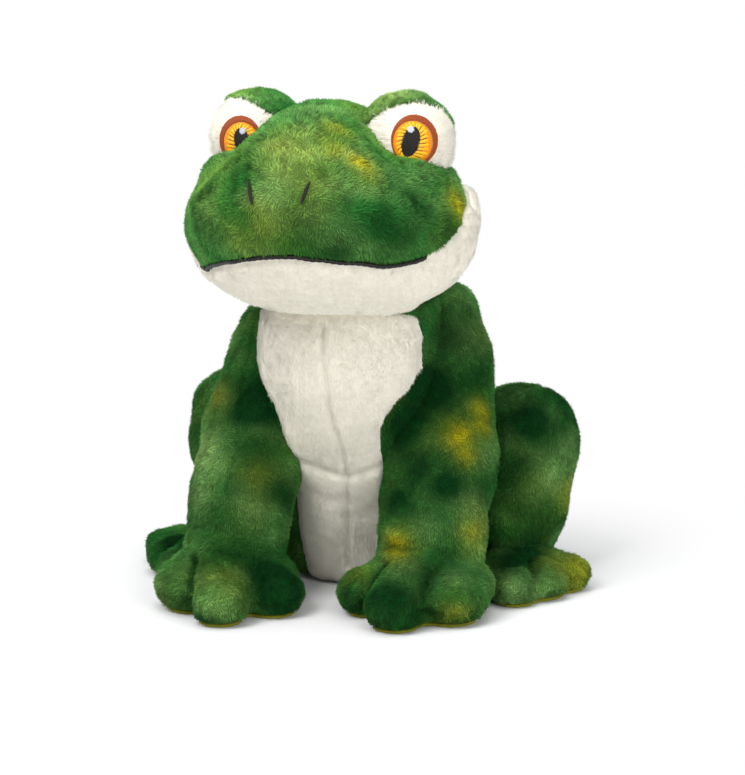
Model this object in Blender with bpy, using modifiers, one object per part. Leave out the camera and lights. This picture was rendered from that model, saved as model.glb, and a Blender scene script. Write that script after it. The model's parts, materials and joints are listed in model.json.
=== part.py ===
"""Plush frog, sitting, 180 mm tall, as separate sewn and stuffed pieces.

Metres, +Z up. The frog faces -Y and its left side is +X. The origin is under the middle
of the toy, on the surface that it sits on. Fabric skins are thin open shells, the wadding
inside each is a solid of its own, and every limb hangs on an empty at its seam's axis.
"""
import math

import bmesh
import bpy
from mathutils import Matrix, Vector
from mathutils.bvhtree import BVHTree

# Driving sizes of the whole toy, in metres
FABRIC_THICK = 0.0018
SEAM_GAP = 0.0003
FILL_GAP = 0.0005
OVERRUN = 0.010
FLOOR_CUT = 0.0005
ROUNDING = 1
MERGE_SHARE = 0.02
ACROSS = Vector((1.0, 0.0, 0.0))
DEEP = Vector((0.0, 1.0, 0.0))

# Torso: a barrel that leans forward, its chest over its belly
TORSO_HEIGHT = 0.1037
TORSO_WIDTH = 0.079
TORSO_DEPTH = 0.094
TORSO_FRONT = -0.033
HIP_FACE_SHARE = 0.48
SHOULDER_FACE_SHARE = 0.395
HIP_FACE = TORSO_WIDTH * HIP_FACE_SHARE
SHOULDER_FACE = TORSO_WIDTH * SHOULDER_FACE_SHARE
SHOULDER_FACE_LOW = 0.0555
TORSO_SIDES = 12
# height, front, back and width of each ring, from the seat up
TORSO_RING_SHARES = (
    (0.00, 0.36, 0.88, 0.70),
    (0.05, 0.31, 0.95, 0.86),
    (0.17, 0.30, 1.00, 1.01),
    (0.38, 0.24, 0.98, 1.02),
    (0.58, 0.10, 0.90, 0.88),
    (0.77, -0.02, 0.80, 0.80),
    (0.93, -0.03, 0.73, 0.77),
    (1.08, 0.05, 0.66, 0.64),
)
SHOULDER_RING = 5

# Chest panel: height share of the torso, half width share of the torso's width
PANEL_HALF_WIDTH = 0.031
PANEL_SHARES = ((1.04, 0.86), (0.92, 0.95), (0.83, 1.0), (0.70, 0.78), (0.58, 0.58), (0.40, 0.55), (0.10, 0.50))
PANEL_BACK = 0.008

# Head: a broad muzzle whose brow ridge stands between the eyes
HEAD_BASE = TORSO_HEIGHT + SEAM_GAP
HEAD_HEIGHT = 0.0720
HEAD_LENGTH = 0.0980
HEAD_WIDTH = 0.1000
HEAD_FRONT = -0.0800
NECK_Y = 0.0010
# distance behind the nose, half width, base, top and pinch between the eyes of each ring
HEAD_RING_SHARES = (
    (0.00, 0.20, 0.42, 0.62, 0.0),
    (0.035, 0.43, 0.33, 0.73, 0.0),
    (0.14, 0.67, 0.20, 0.86, 0.2),
    (0.29, 0.85, 0.07, 0.95, 0.7),
    (0.46, 0.99, -0.03, 0.985, 1.0),
    (0.62, 1.05, -0.05, 0.98, 1.0),
    (0.79, 0.92, -0.04, 0.92, 0.5),
    (0.93, 0.62, 0.08, 0.79, 0.0),
    (1.00, 0.30, 0.26, 0.62, 0.0),
)
# half of one ring, from the top of the head down to the throat, without a pinch and with all of it
ROUND_SECTION_SHARES = (
    (0.0, 1.0), (0.38, 0.88), (0.72, 0.52), (0.99, 0.02), (0.89, -0.50), (0.60, -0.93), (0.0, -1.0),
)
PINCHED_SECTION_SHARES = (
    (0.0, 1.0), (0.31, 0.83), (0.53, 0.40), (0.98, 0.05), (0.89, -0.50), (0.60, -0.93), (0.0, -1.0),
)

# Lower jaw: the pale band under the mouth, which sweeps up over the cheeks
MOUTH_ABOVE_THROAT = 0.0203
MOUTH_HEIGHT = HEAD_BASE + MOUTH_ABOVE_THROAT
MOUTH_LIFT = 0.0037
MOUTH_END = -0.0510
CHEEK_RISE = 0.0237
JAW_BACK = -0.0170
JAW_CORNER = 0.0030
# place between the mouth's end and the jaw's back edge, and share of the cheek's rise
CHEEK_SHARES = ((1.0, 1.0), (0.93, 0.65), (0.59, 0.47), (0.18, 0.16), (0.0, 0.0))

# Mouth piping and nostril stitches
PIPING_RADIUS = 0.0006
MOUTH_TURN = math.radians(56.0)
MOUTH_POINTS = 25
MOUTH_CENTRE_SHARE = 0.56
NOSTRIL_RADIUS = 0.0006
NOSTRIL_TOP_X = 0.0108
NOSTRIL_LOW_X = 0.0090
NOSTRIL_ABOVE_MOUTH = 0.0282
NOSTRIL_LENGTH = 0.0065
NOSTRIL_TOP = MOUTH_HEIGHT + NOSTRIL_ABOVE_MOUTH
NOSTRIL_LOW = NOSTRIL_TOP - NOSTRIL_LENGTH
NOSTRIL_POINTS = 5

# Eyes: padded domes with a fabric hood and an embroidered disc each
EYE_RADIUS = 0.0160
EYE_X = 0.0257
EYE_Y = -0.0210
EYE_HEIGHT_SHARE = 0.7778
EYE_Z = HEAD_BASE + HEAD_HEIGHT * EYE_HEIGHT_SHARE
EYE_TURN = math.radians(15.0)
EYE_LIFT = math.radians(6.0)
LID_THICK = 0.0020
LID_TILT = math.radians(50.0)
LID_STEP = 0.0020
STITCH_THICK = 0.0007
RIM_RADIUS = 0.0078
IRIS_RADIUS = 0.0067
PUPIL_HALF_WIDTH = 0.0029
PUPIL_HALF_HEIGHT = 0.0050
PUPIL_LEAN = math.radians(18.0)
GLINT_RADIUS = 0.0014
GLINT_RISE = 0.0032
EYE_SEGMENTS = 20
EYE_RINGS = 12
DISC_SIDES = 24

# Arms: thick tubes from the shoulder down and forward to the wrist
SHOULDER_Y = 0.0150
SHOULDER_DROP = 0.0157
SHOULDER_Z = TORSO_HEIGHT - SHOULDER_DROP
WRIST_HEIGHT = 0.0150
ARM_WIDTH = 0.0370
ARM_DEPTH = 0.0330
ARM_X = 0.0335
ARM_SIDES = 8
SHOULDER_SOCKET_SEGMENTS = 20
SHOULDER_SOCKET_ROWS = 8
SOCKET_WIDTH_SHARE = 0.83
SOCKET_GAP = 0.0010
# sideways place, place along the slope, width and depth of each ring, from the shoulder down
ARM_RING_SHARES = (
    (0.92, -0.20, 0.44, 0.46),
    (0.93, -0.12, 0.66, 0.76),
    (0.97, 0.12, 0.82, 0.92),
    (1.00, 0.36, 0.97, 1.00),
    (1.01, 0.62, 1.04, 1.02),
    (1.00, 0.86, 1.00, 0.94),
    (1.00, 1.12, 0.97, 0.88),
)
WRIST_Y = -0.0240
# how much further forward the hands and the right foot are set down than the tables say
LEFT_REACH = -0.0030
RIGHT_REACH = 0.0070
RIGHT_STEP = 0.0060

# Hands: a palm and three toes, flat underneath
HAND_CENTRE = (0.0335, -0.0255, 0.0080)
HAND_HALF = (0.0212, 0.0195, 0.0135)
HAND_TOE_TIPS = ((0.0050, -0.0370), (0.0300, -0.0590), (0.0545, -0.0410))
TOE_HALF_WIDTH = 0.0104
TOE_HALF_HEIGHT = 0.0088
TOE_CENTRE_HEIGHT = 0.0068
TOE_REACH_SHARE = 0.50
SOLE_THICK = 0.0012
# segments and rings of the paws' rounded forms, and of the rooms inside them
PALM_MESH = (16, 8)
TOE_MESH = (10, 6)
ROOM_PALM_MESH = (12, 6)
ROOM_TOE_MESH = (8, 5)

# Hind legs: folded thighs that stand beside the rump
LEG_HEIGHT = 0.0700
LEG_WIDTH = 0.0370
LEG_DEPTH = 0.0480
LEG_SEAT_SHARE = 0.394
LEG_X = HIP_FACE + LEG_WIDTH * LEG_SEAT_SHARE
LEG_Y = 0.0380
LEG_SIDES = 8
HIP_Y = 0.0400
HIP_Z = 0.0160
# height, sideways place, width and depth of each ring, from the floor up
LEG_RING_SHARES = (
    (0.00, 0.93, 0.62, 0.66),
    (0.08, 0.94, 0.82, 0.88),
    (0.34, 0.99, 1.00, 1.03),
    (0.64, 1.03, 1.07, 1.02),
    (0.88, 1.03, 0.96, 0.84),
    (1.00, 1.02, 0.54, 0.46),
)
FOOT_CENTRE = (0.0585, 0.0140, 0.0055)
FOOT_HALF = (0.0165, 0.0200, 0.0085)
FOOT_TOE_TIPS = ((0.0610, -0.0130), (0.0735, 0.0020), (0.0815, 0.0220))
FOOT_TOE_HALF_WIDTH = 0.0085
FOOT_TOE_HALF_HEIGHT = 0.0070
FOOT_TOE_CENTRE_HEIGHT = 0.0055

# Bag of pellets in the seat, and the thread that closes the back
POUCH_HALF = (0.0230, 0.0200, 0.0100)
POUCH_Y = 0.0200
POUCH_LOW = 0.0035
THREAD_RADIUS = 0.0004
THREAD_LOW = 0.0450
THREAD_HIGH = 0.0800
THREAD_STITCH = 0.0035
THREAD_SWING = 0.0010

GREEN = (0.055, 0.190, 0.045, 1.0)
OLIVE = (0.290, 0.270, 0.020, 1.0)
CREAM = (0.850, 0.790, 0.680, 1.0)
WADDING = (0.900, 0.900, 0.880, 1.0)
CALICO = (0.700, 0.680, 0.590, 1.0)
RUST = (0.420, 0.080, 0.010, 1.0)
ORANGE = (0.880, 0.340, 0.010, 1.0)
BLACK = (0.010, 0.008, 0.006, 1.0)
LAVENDER = (0.780, 0.780, 0.860, 1.0)
FABRIC_ROUGHNESS = 0.9
THREAD_ROUGHNESS = 0.5


def clear_scene():
    for obj in list(bpy.data.objects):
        bpy.data.objects.remove(obj, do_unlink=True)


def collection(name):
    made = bpy.data.collections.new(name)
    bpy.context.scene.collection.children.link(made)
    return made


def material(name, colour, roughness=FABRIC_ROUGHNESS):
    made = bpy.data.materials.new(name)
    made.use_nodes = True
    made.diffuse_color = colour
    shader = made.node_tree.nodes["Principled BSDF"]
    shader.inputs["Base Color"].default_value = colour
    shader.inputs["Roughness"].default_value = roughness
    shader.inputs["Metallic"].default_value = 0.0
    return made


def object_from(bm, name):
    """A mesh object in the workshop collection, its faces turned outwards."""
    bmesh.ops.recalc_face_normals(bm, faces=bm.faces)
    mesh = bpy.data.meshes.new(name)
    bm.to_mesh(mesh)
    bm.free()
    made = bpy.data.objects.new(name, mesh)
    WORKSHOP.objects.link(made)
    return made


def settle(obj):
    """Applies the object's modifiers, so that its mesh is the finished shape."""
    graph = bpy.context.evaluated_depsgraph_get()
    mesh = bpy.data.meshes.new_from_object(obj.evaluated_get(graph))
    old = obj.data
    obj.modifiers.clear()
    obj.data = mesh
    bpy.data.meshes.remove(old)
    return obj


def join(obj, other, operation, keep=False):
    """One Boolean on the object, applied. The other object goes unless it is kept."""
    step = obj.modifiers.new(operation.lower(), "BOOLEAN")
    step.operation = operation
    step.object = other
    step.solver = "EXACT"
    bpy.context.view_layer.update()
    settle(obj)
    if not keep:
        bpy.data.objects.remove(other, do_unlink=True)
    return obj


def cut(obj, other, keep=False):
    return join(obj, other, "DIFFERENCE", keep)


def common(obj, other, keep=False):
    return join(obj, other, "INTERSECT", keep)


def copy_of(obj, name):
    made = obj.copy()
    made.data = obj.data.copy()
    made.name = name
    WORKSHOP.objects.link(made)
    return made


def loft(name, rings, inset=0.0):
    """A closed soft form: rings of equal count joined in order, capped and rounded.

    Drawn in, it keeps only the cage's points, each moved inwards along the rounded form's normal.
    Drawn out, by a negative inset, it keeps them all.
    """
    bm = bmesh.new()
    loops = [[bm.verts.new(point) for point in ring] for ring in rings]
    count = len(loops[0])
    for lower, upper in zip(loops, loops[1:]):
        for i in range(count):
            j = (i + 1) % count
            bm.faces.new((lower[i], lower[j], upper[j], upper[i]))
    bm.faces.new(loops[0])
    bm.faces.new(loops[-1])
    made = object_from(bm, name)
    cage = made.data.copy()
    rounding = made.modifiers.new("rounding", "SUBSURF")
    rounding.levels = ROUNDING
    rounding.render_levels = ROUNDING
    bpy.context.view_layer.update()
    settle(made)
    moved = [vertex.co - vertex.normal * inset for vertex in made.data.vertices]
    if inset > 0.0:
        made.data = cage
    for vertex, spot in zip(made.data.vertices, moved):
        vertex.co = spot
    if inset > 0.0:
        # the room and its wadding are split along the same diagonals, so they never cross
        bm = bmesh.new()
        bm.from_mesh(made.data)
        bmesh.ops.triangulate(bm, faces=bm.faces, quad_method="FIXED", ngon_method="EAR_CLIP")
        bm.to_mesh(made.data)
        bm.free()
    return made


def swell(sides):
    """How much larger a cage ring of so many sides is than the ring that rounding leaves."""
    return 3.0 / (2.0 + math.cos(2.0 * math.pi / sides))


def oval(centre, across, along, half_across, half_along, sides):
    grow = swell(sides)
    turns = [2.0 * math.pi * (i + 0.5) / sides for i in range(sides)]
    return [
        centre + across * (half_across * grow * math.cos(t)) + along * (half_along * grow * math.sin(t))
        for t in turns
    ]


def block(name, low, high):
    """A box between two corners."""
    bm = bmesh.new()
    size = Vector(high) - Vector(low)
    middle = (Vector(high) + Vector(low)) / 2.0
    bmesh.ops.create_cube(bm, size=1.0, matrix=Matrix.Translation(middle) @ Matrix.Diagonal((*size, 1.0)))
    return object_from(bm, name)


def ball(name, centre, half, segments, rings, turn=None):
    """An ellipsoid with its half sizes along its own axes, turned about its centre."""
    bm = bmesh.new()
    place = Matrix.Translation(centre) @ (turn or Matrix.Identity(4)) @ Matrix.Diagonal((*half, 1.0))
    bmesh.ops.create_uvsphere(bm, u_segments=segments, v_segments=rings, radius=1.0, matrix=place)
    return object_from(bm, name)


def slab(name, outline, low, high, normal):
    """A flat outline of (first, second) points pushed from low to high along the normal's axis."""
    bm = bmesh.new()
    spots = {"X": lambda a, b: (low, a, b), "Y": lambda a, b: (a, low, b)}[normal]
    face = bm.faces.new([bm.verts.new(spots(a, b)) for a, b in outline])
    grown = bmesh.ops.extrude_face_region(bm, geom=[face])
    moved = [item for item in grown["geom"] if isinstance(item, bmesh.types.BMVert)]
    push = {"X": (high - low, 0.0, 0.0), "Y": (0.0, high - low, 0.0)}[normal]
    bmesh.ops.translate(bm, vec=push, verts=moved)
    return object_from(bm, name)


def drawn_in(outline, distance):
    """The outline with each side moved inwards by the distance. It runs anticlockwise."""
    moved = []
    for before, here, after in zip(outline[-1:] + outline[:-1], outline, outline[1:] + outline[:1]):
        first = (Vector(here) - Vector(before)).normalized()
        second = (Vector(after) - Vector(here)).normalized()
        first_in, second_in = Vector((-first.y, first.x)), Vector((-second.y, second.x))
        mitre = (first_in + second_in) / (1.0 + first_in.dot(second_in))
        moved.append(tuple(Vector(here) + mitre * distance))
    return moved


def tube(name, points, radius, turns=1):
    """A round thread through the points, as a closed mesh."""
    curve = bpy.data.curves.new(name, "CURVE")
    curve.dimensions = "3D"
    curve.bevel_depth = radius
    curve.bevel_resolution = turns
    curve.use_fill_caps = True
    line = curve.splines.new("POLY")
    line.points.add(len(points) - 1)
    for spot, point in zip(line.points, points):
        spot.co = (*point, 1.0)
    guide = bpy.data.objects.new(name + " guide", curve)
    WORKSHOP.objects.link(guide)
    bpy.context.view_layer.update()
    graph = bpy.context.evaluated_depsgraph_get()
    bm = bmesh.new()
    bm.from_mesh(bpy.data.meshes.new_from_object(guide.evaluated_get(graph)))
    bmesh.ops.remove_doubles(bm, verts=bm.verts, dist=radius * MERGE_SHARE)
    bpy.data.objects.remove(guide, do_unlink=True)
    return object_from(bm, name)


def tree_of(obj):
    return BVHTree.FromObject(obj, bpy.context.evaluated_depsgraph_get())


def torso_form(name, inset=0.0):
    rings = []
    for height, front, back, width in TORSO_RING_SHARES:
        near, far = TORSO_FRONT + front * TORSO_DEPTH, TORSO_FRONT + back * TORSO_DEPTH
        centre = Vector((0.0, (near + far) / 2.0, height * TORSO_HEIGHT - FLOOR_CUT))
        rings.append(oval(centre, ACROSS, DEEP, width * TORSO_WIDTH / 2.0, (far - near) / 2.0, TORSO_SIDES))
    return loft(name, rings, inset)


def head_section(pinch):
    """One ring of the head, of unit size, between its round shape and its pinched one."""
    pairs = zip(ROUND_SECTION_SHARES, PINCHED_SECTION_SHARES)
    half = [tuple(Vector(a).lerp(Vector(b), pinch)) for a, b in pairs]
    return half + [(-x, z) for x, z in reversed(half[1:-1])]


def head_form(name, inset=0.0):
    rings = []
    for behind, width, base, top, pinch in HEAD_RING_SHARES:
        section = head_section(pinch)
        grow = swell(len(section))
        y = HEAD_FRONT + behind * HEAD_LENGTH
        middle = HEAD_BASE + (base + top) / 2.0 * HEAD_HEIGHT
        rise = (top - base) / 2.0 * HEAD_HEIGHT * grow
        half = width * HEAD_WIDTH / 2.0 * grow
        rings.append([Vector((x * half, y, middle + z * rise)) for x, z in section])
    return loft(name, rings, inset)


def reach_of(side):
    return LEFT_REACH if side > 0.0 else RIGHT_REACH


def arm_form(name, side, inset=0.0):
    top = Vector((0.0, SHOULDER_Y, SHOULDER_Z))
    foot = Vector((0.0, WRIST_Y - reach_of(side), WRIST_HEIGHT))
    along = (foot - top).cross(ACROSS).normalized()
    rings = []
    for sideways, place, width, depth in ARM_RING_SHARES:
        centre = top.lerp(foot, place) + ACROSS * (side * sideways * ARM_X)
        rings.append(oval(centre, ACROSS, along, width * ARM_WIDTH / 2.0, depth * ARM_DEPTH / 2.0, ARM_SIDES))
    return loft(name, rings, inset)


def leg_form(name, side, inset=0.0):
    rings = []
    for height, sideways, width, depth in LEG_RING_SHARES:
        centre = Vector((side * sideways * LEG_X, LEG_Y, height * LEG_HEIGHT - FLOOR_CUT))
        rings.append(oval(centre, ACROSS, DEEP, width * LEG_WIDTH / 2.0, depth * LEG_DEPTH / 2.0, LEG_SIDES))
    return loft(name, rings, inset)


def paw_form(name, centre, half, tips, toe, inset):
    """A palm with three toes that fan out from it to their tips. Drawn in, it has fewer faces."""
    palm_mesh, toe_mesh = (ROOM_PALM_MESH, ROOM_TOE_MESH) if inset > 0.0 else (PALM_MESH, TOE_MESH)
    palm = ball(name, centre, [h - inset for h in half], *palm_mesh)
    toe_half_width, toe_half_height, toe_height = toe
    for tip in tips:
        reach = Vector((tip[0] - centre[0], tip[1] - centre[1], 0.0))
        length = reach.length * TOE_REACH_SHARE
        middle = Vector((centre[0], centre[1], toe_height)) + reach - reach.normalized() * length
        turn = Matrix.Rotation(math.atan2(reach.y, reach.x), 4, "Z")
        sizes = (length - inset, toe_half_width - inset, toe_half_height - inset)
        join(palm, ball(name + " toe", middle, sizes, *toe_mesh, turn), "UNION")
    return palm


def hand_form(name, side, inset=0.0):
    toe = (TOE_HALF_WIDTH, TOE_HALF_HEIGHT, TOE_CENTRE_HEIGHT)
    reach = reach_of(side)
    centre = (side * HAND_CENTRE[0], HAND_CENTRE[1] - reach, HAND_CENTRE[2])
    tips = [(side * x, y - reach) for x, y in HAND_TOE_TIPS]
    return paw_form(name, centre, HAND_HALF, tips, toe, inset)


def foot_form(name, side, inset=0.0):
    toe = (FOOT_TOE_HALF_WIDTH, FOOT_TOE_HALF_HEIGHT, FOOT_TOE_CENTRE_HEIGHT)
    step = 0.0 if side > 0.0 else RIGHT_STEP
    centre = (side * FOOT_CENTRE[0], FOOT_CENTRE[1] - step, FOOT_CENTRE[2])
    tips = [(side * x, y - step) for x, y in FOOT_TOE_TIPS]
    return paw_form(name, centre, FOOT_HALF, tips, toe, inset)


def span(name, axis, low, high):
    """A block that holds everything between two planes across one axis."""
    reach = HEAD_LENGTH + TORSO_HEIGHT
    corners = [[-reach] * 3, [reach] * 3]
    corners[0][axis], corners[1][axis] = low, high
    return block(name, *corners)


def finish(obj, look):
    obj.data.materials.clear()
    obj.data.materials.append(look)
    obj.data.shade_smooth()
    WORKSHOP.objects.unlink(obj)
    FROG.objects.link(obj)
    return obj


def shell(name, form, *side):
    """A skin: the form less the room for its wadding."""
    return cut(form(name, *side), form(name + " room", *side, inset=FABRIC_THICK))


def filling(name, form, *side):
    """The wadding inside a skin, clear of it by the filling gap."""
    return form(name, *side, inset=FABRIC_THICK + FILL_GAP)


def seats(name, grow=0.0):
    """Everything between the torso's flat sides, which are further apart at the hips."""
    made = span(name, 0, -HIP_FACE - grow, HIP_FACE + grow)
    narrow = span("narrow", 0, -SHOULDER_FACE - grow, SHOULDER_FACE + grow)
    below = span("below the shoulders", 2, -OVERRUN, SHOULDER_FACE_LOW + grow)
    return common(made, join(narrow, below, "UNION"))


def panel_outline():
    right = [(PANEL_HALF_WIDTH * width, height * TORSO_HEIGHT) for height, width in PANEL_SHARES]
    left = [(-x, z) for x, z in right]
    return left + right[::-1]


def jaw_outline():
    """Seen from +X: front low, back low, up the cheek to its cut tip, and along the mouth."""
    front = HEAD_FRONT - OVERRUN
    low = HEAD_BASE - OVERRUN
    sweep = JAW_BACK - MOUTH_END
    cheek = [(MOUTH_END + sweep * place, MOUTH_HEIGHT + CHEEK_RISE * rise) for place, rise in CHEEK_SHARES]
    return [
        (front, low),
        (JAW_BACK - JAW_CORNER, low),
        (JAW_BACK, MOUTH_HEIGHT),
        (JAW_BACK + JAW_CORNER, MOUTH_HEIGHT + CHEEK_RISE - JAW_CORNER),
        *cheek,
        (HEAD_FRONT, MOUTH_HEIGHT + MOUTH_LIFT),
        (front, MOUTH_HEIGHT + MOUTH_LIFT),
    ]


def shoulder_socket():
    """The torso's plan outline turned about the shoulders' axis, which the arms clear."""
    _, front, back, _ = TORSO_RING_SHARES[SHOULDER_RING]
    middle = TORSO_FRONT + TORSO_DEPTH * (front + back) / 2.0
    half_depth = TORSO_DEPTH * (back - front) / 2.0
    half_width = TORSO_WIDTH * SOCKET_WIDTH_SHARE / 2.0
    face = SHOULDER_FACE + 2.0 * SEAM_GAP
    start = math.acos(face / half_width)
    steps = [start + (math.pi - 2.0 * start) * i / SHOULDER_SOCKET_ROWS for i in range(SHOULDER_SOCKET_ROWS + 1)]
    profile = [(0.0, face)]
    for step in steps:
        radius = SHOULDER_Y - middle + half_depth * math.sin(step) + SOCKET_GAP
        profile.append((radius, half_width * math.cos(step)))
    profile.append((0.0, -face))
    mesh = bpy.data.meshes.new("shoulder socket")
    links = [(i, i + 1) for i in range(len(profile) - 1)]
    mesh.from_pydata([(r, 0.0, h) for r, h in profile], links, [])
    made = bpy.data.objects.new("shoulder socket", mesh)
    WORKSHOP.objects.link(made)
    turning = made.modifiers.new("turning", "SCREW")
    turning.steps = SHOULDER_SOCKET_SEGMENTS
    turning.render_steps = SHOULDER_SOCKET_SEGMENTS
    turning.use_merge_vertices = True
    turning.merge_threshold = SEAM_GAP * MERGE_SHARE
    bpy.context.view_layer.update()
    settle(made)
    place = Matrix.Translation((0.0, SHOULDER_Y, SHOULDER_Z)) @ Matrix.Rotation(math.radians(90.0), 4, "Y")
    made.data.transform(place)
    return made


def make_torso(looks):
    limits = common(seats("torso limits"), span("torso height", 2, 0.0, TORSO_HEIGHT))
    skin = common(shell("torso_skin", torso_form), limits, keep=True)
    outline = panel_outline()
    low, high = TORSO_FRONT - OVERRUN, PANEL_BACK
    panel = common(copy_of(skin, "chest_panel"), slab("panel", drawn_in(outline, SEAM_GAP), low, high, "Y"))
    cut(skin, slab("panel gap", outline, low, high + SEAM_GAP, "Y"))
    fill = common(filling("torso_fill", torso_form), limits)
    centre = Vector((0.0, POUCH_Y, POUCH_LOW + POUCH_HALF[2]))
    cut(fill, ball("pouch room", centre, [h + SEAM_GAP for h in POUCH_HALF], *PALM_MESH))
    way = Vector(POUCH_HALF) / 2.0
    cut(fill, block("pouch way", (-way.x, POUCH_Y - way.y, -OVERRUN), (way.x, POUCH_Y + way.y, centre.z)))
    pouch = ball("pellet_pouch", centre, POUCH_HALF, *PALM_MESH)
    finish(skin, looks["green"])
    finish(panel, looks["cream"])
    finish(fill, looks["wadding"])
    finish(pouch, looks["bag"])


def make_thread(looks):
    """Ladder stitches that close the back after the stuffing has gone in."""
    back = torso_form("back guide")
    tree = tree_of(back)
    count = round((THREAD_HIGH - THREAD_LOW) / THREAD_STITCH)
    points = []
    for i in range(2 * count + 1):
        z = THREAD_LOW + (THREAD_HIGH - THREAD_LOW) * i / (2 * count)
        x = THREAD_SWING * (1.0 if i // 2 % 2 else -1.0) * (1.0 if i % 2 else 0.0)
        hit, normal, _, _ = tree.ray_cast(Vector((x, TORSO_DEPTH * 2.0, z)), -DEEP)
        points.append(hit + normal * (THREAD_RADIUS + SEAM_GAP))
    bpy.data.objects.remove(back, do_unlink=True)
    finish(tube("closing_thread", points, THREAD_RADIUS), looks["green"])


def make_head(looks):
    above = span("above the neck", 2, HEAD_BASE, HEAD_BASE + 2.0 * HEAD_HEIGHT)
    skin = shell("head_skin", head_form)
    common(skin, above, keep=True)
    outline = jaw_outline()
    wide = HEAD_WIDTH
    jaw = common(copy_of(skin, "jaw_panel"), slab("jaw", drawn_in(outline, SEAM_GAP), -wide, wide, "X"))
    cut(skin, slab("jaw gap", outline, -wide, wide, "X"))
    fill = common(filling("head_fill", head_form), above)
    finish(skin, looks["green"])
    finish(jaw, looks["cream"])
    finish(fill, looks["wadding"])


def make_mouth(looks, tree):
    """Black piping laid along the mouth seam, found by looking outwards from inside the head."""
    slope = MOUTH_LIFT / (MOUTH_END - HEAD_FRONT)
    behind = MOUTH_CENTRE_SHARE * HEAD_LENGTH
    heart = Vector((0.0, HEAD_FRONT + behind, MOUTH_HEIGHT + MOUTH_LIFT - slope * behind))
    points = []
    for i in range(MOUTH_POINTS):
        turn = MOUTH_TURN * (2.0 * i / (MOUTH_POINTS - 1) - 1.0)
        outwards = Vector((math.sin(turn), -math.cos(turn), slope * math.cos(turn)))
        hit, normal, _, _ = tree.ray_cast(heart, outwards)
        points.append(hit + normal * (PIPING_RADIUS + SEAM_GAP))
    finish(tube("mouth_piping", points, PIPING_RADIUS), looks["black"])
    for side, word in SIDES:
        points = []
        for i in range(NOSTRIL_POINTS):
            share = i / (NOSTRIL_POINTS - 1)
            x = side * (NOSTRIL_TOP_X + (NOSTRIL_LOW_X - NOSTRIL_TOP_X) * share)
            z = NOSTRIL_TOP + (NOSTRIL_LOW - NOSTRIL_TOP) * share
            hit, normal, _, _ = tree.ray_cast(Vector((x, 2.0 * HEAD_FRONT, z)), DEEP)
            points.append(hit + normal * (NOSTRIL_RADIUS + SEAM_GAP))
        finish(tube(f"nostril_stitch_{word}", points, NOSTRIL_RADIUS), looks["black"])


def eye_ball(name, side, grow):
    centre = (side * EYE_X, EYE_Y, EYE_Z)
    half = [EYE_RADIUS + grow] * 3
    return ball(name, centre, half, EYE_SEGMENTS, EYE_RINGS)


def eye_disc(name, side, half_width, half_height, lean=0.0, rise=0.0):
    """A round or oval rod along the line of sight, which marks one colour of the embroidery."""
    bm = bmesh.new()
    reach = EYE_RADIUS * 2.0
    bmesh.ops.create_cone(
        bm, cap_ends=True, segments=DISC_SIDES, radius1=1.0, radius2=1.0, depth=reach,
        matrix=Matrix.Translation((0.0, 0.0, reach / 2.0)),
    )
    sight = Matrix.Rotation(side * EYE_TURN, 4, "Z") @ Matrix.Rotation(math.radians(90.0) - EYE_LIFT, 4, "X")
    shape = Matrix.Translation((0.0, rise, 0.0)) @ Matrix.Rotation(lean, 4, "Z")
    size = Matrix.Diagonal((half_width, half_height, 1.0, 1.0))
    bm.transform(Matrix.Translation((side * EYE_X, EYE_Y, EYE_Z)) @ sight @ shape @ size)
    return object_from(bm, name)


def eye_layer(name, side, lift, disc, head_room):
    """One colour of thread: a thin cap of the dome, kept inside its disc."""
    layer = eye_ball(name, side, lift + STITCH_THICK)
    cut(layer, eye_ball(name + " under", side, lift))
    common(layer, disc)
    return cut(layer, head_room, keep=True)


def make_eye(side, word, looks, head_room):
    dome = cut(eye_ball(f"eye_dome_{word}", side, 0.0), head_room, keep=True)
    lid = eye_ball(f"eyelid_{word}", side, SEAM_GAP + LID_THICK)
    cut(lid, eye_ball("lid inside", side, SEAM_GAP))
    cut(lid, head_room, keep=True)
    reach = 2.0 * EYE_RADIUS
    front = block("lid front", (-reach, -reach, -2.0 * reach), (reach, reach, LID_STEP))
    tilt = Matrix.Rotation(-LID_TILT, 4, "X")
    front.data.transform(Matrix.Translation((side * EYE_X, EYE_Y, EYE_Z)) @ tilt)
    cut(lid, front)
    rim = eye_layer(f"eye_rim_{word}", side, SEAM_GAP, eye_disc("rim", side, RIM_RADIUS, RIM_RADIUS), head_room)
    inner = IRIS_RADIUS + SEAM_GAP
    cut(rim, eye_disc("rim hole", side, inner, inner))
    iris = eye_layer(f"iris_{word}", side, SEAM_GAP, eye_disc("iris", side, IRIS_RADIUS, IRIS_RADIUS), head_room)
    pupil_hole = (PUPIL_HALF_WIDTH + SEAM_GAP, PUPIL_HALF_HEIGHT + SEAM_GAP)
    cut(iris, eye_disc("pupil hole", side, *pupil_hole, lean=-PUPIL_LEAN))
    pupil_disc = eye_disc("pupil", side, PUPIL_HALF_WIDTH, PUPIL_HALF_HEIGHT, lean=-PUPIL_LEAN)
    pupil = eye_layer(f"pupil_{word}", side, SEAM_GAP, pupil_disc, head_room)
    glint_disc = eye_disc("glint", side, GLINT_RADIUS, GLINT_RADIUS, rise=GLINT_RISE)
    glint = eye_layer(f"eye_glint_{word}", side, 2.0 * SEAM_GAP + STITCH_THICK, glint_disc, head_room)
    finish(dome, looks["cream"])
    finish(lid, looks["green"])
    finish(rim, looks["rust"])
    finish(iris, looks["orange"])
    finish(pupil, looks["black"])
    finish(glint, looks["lavender"])


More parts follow.
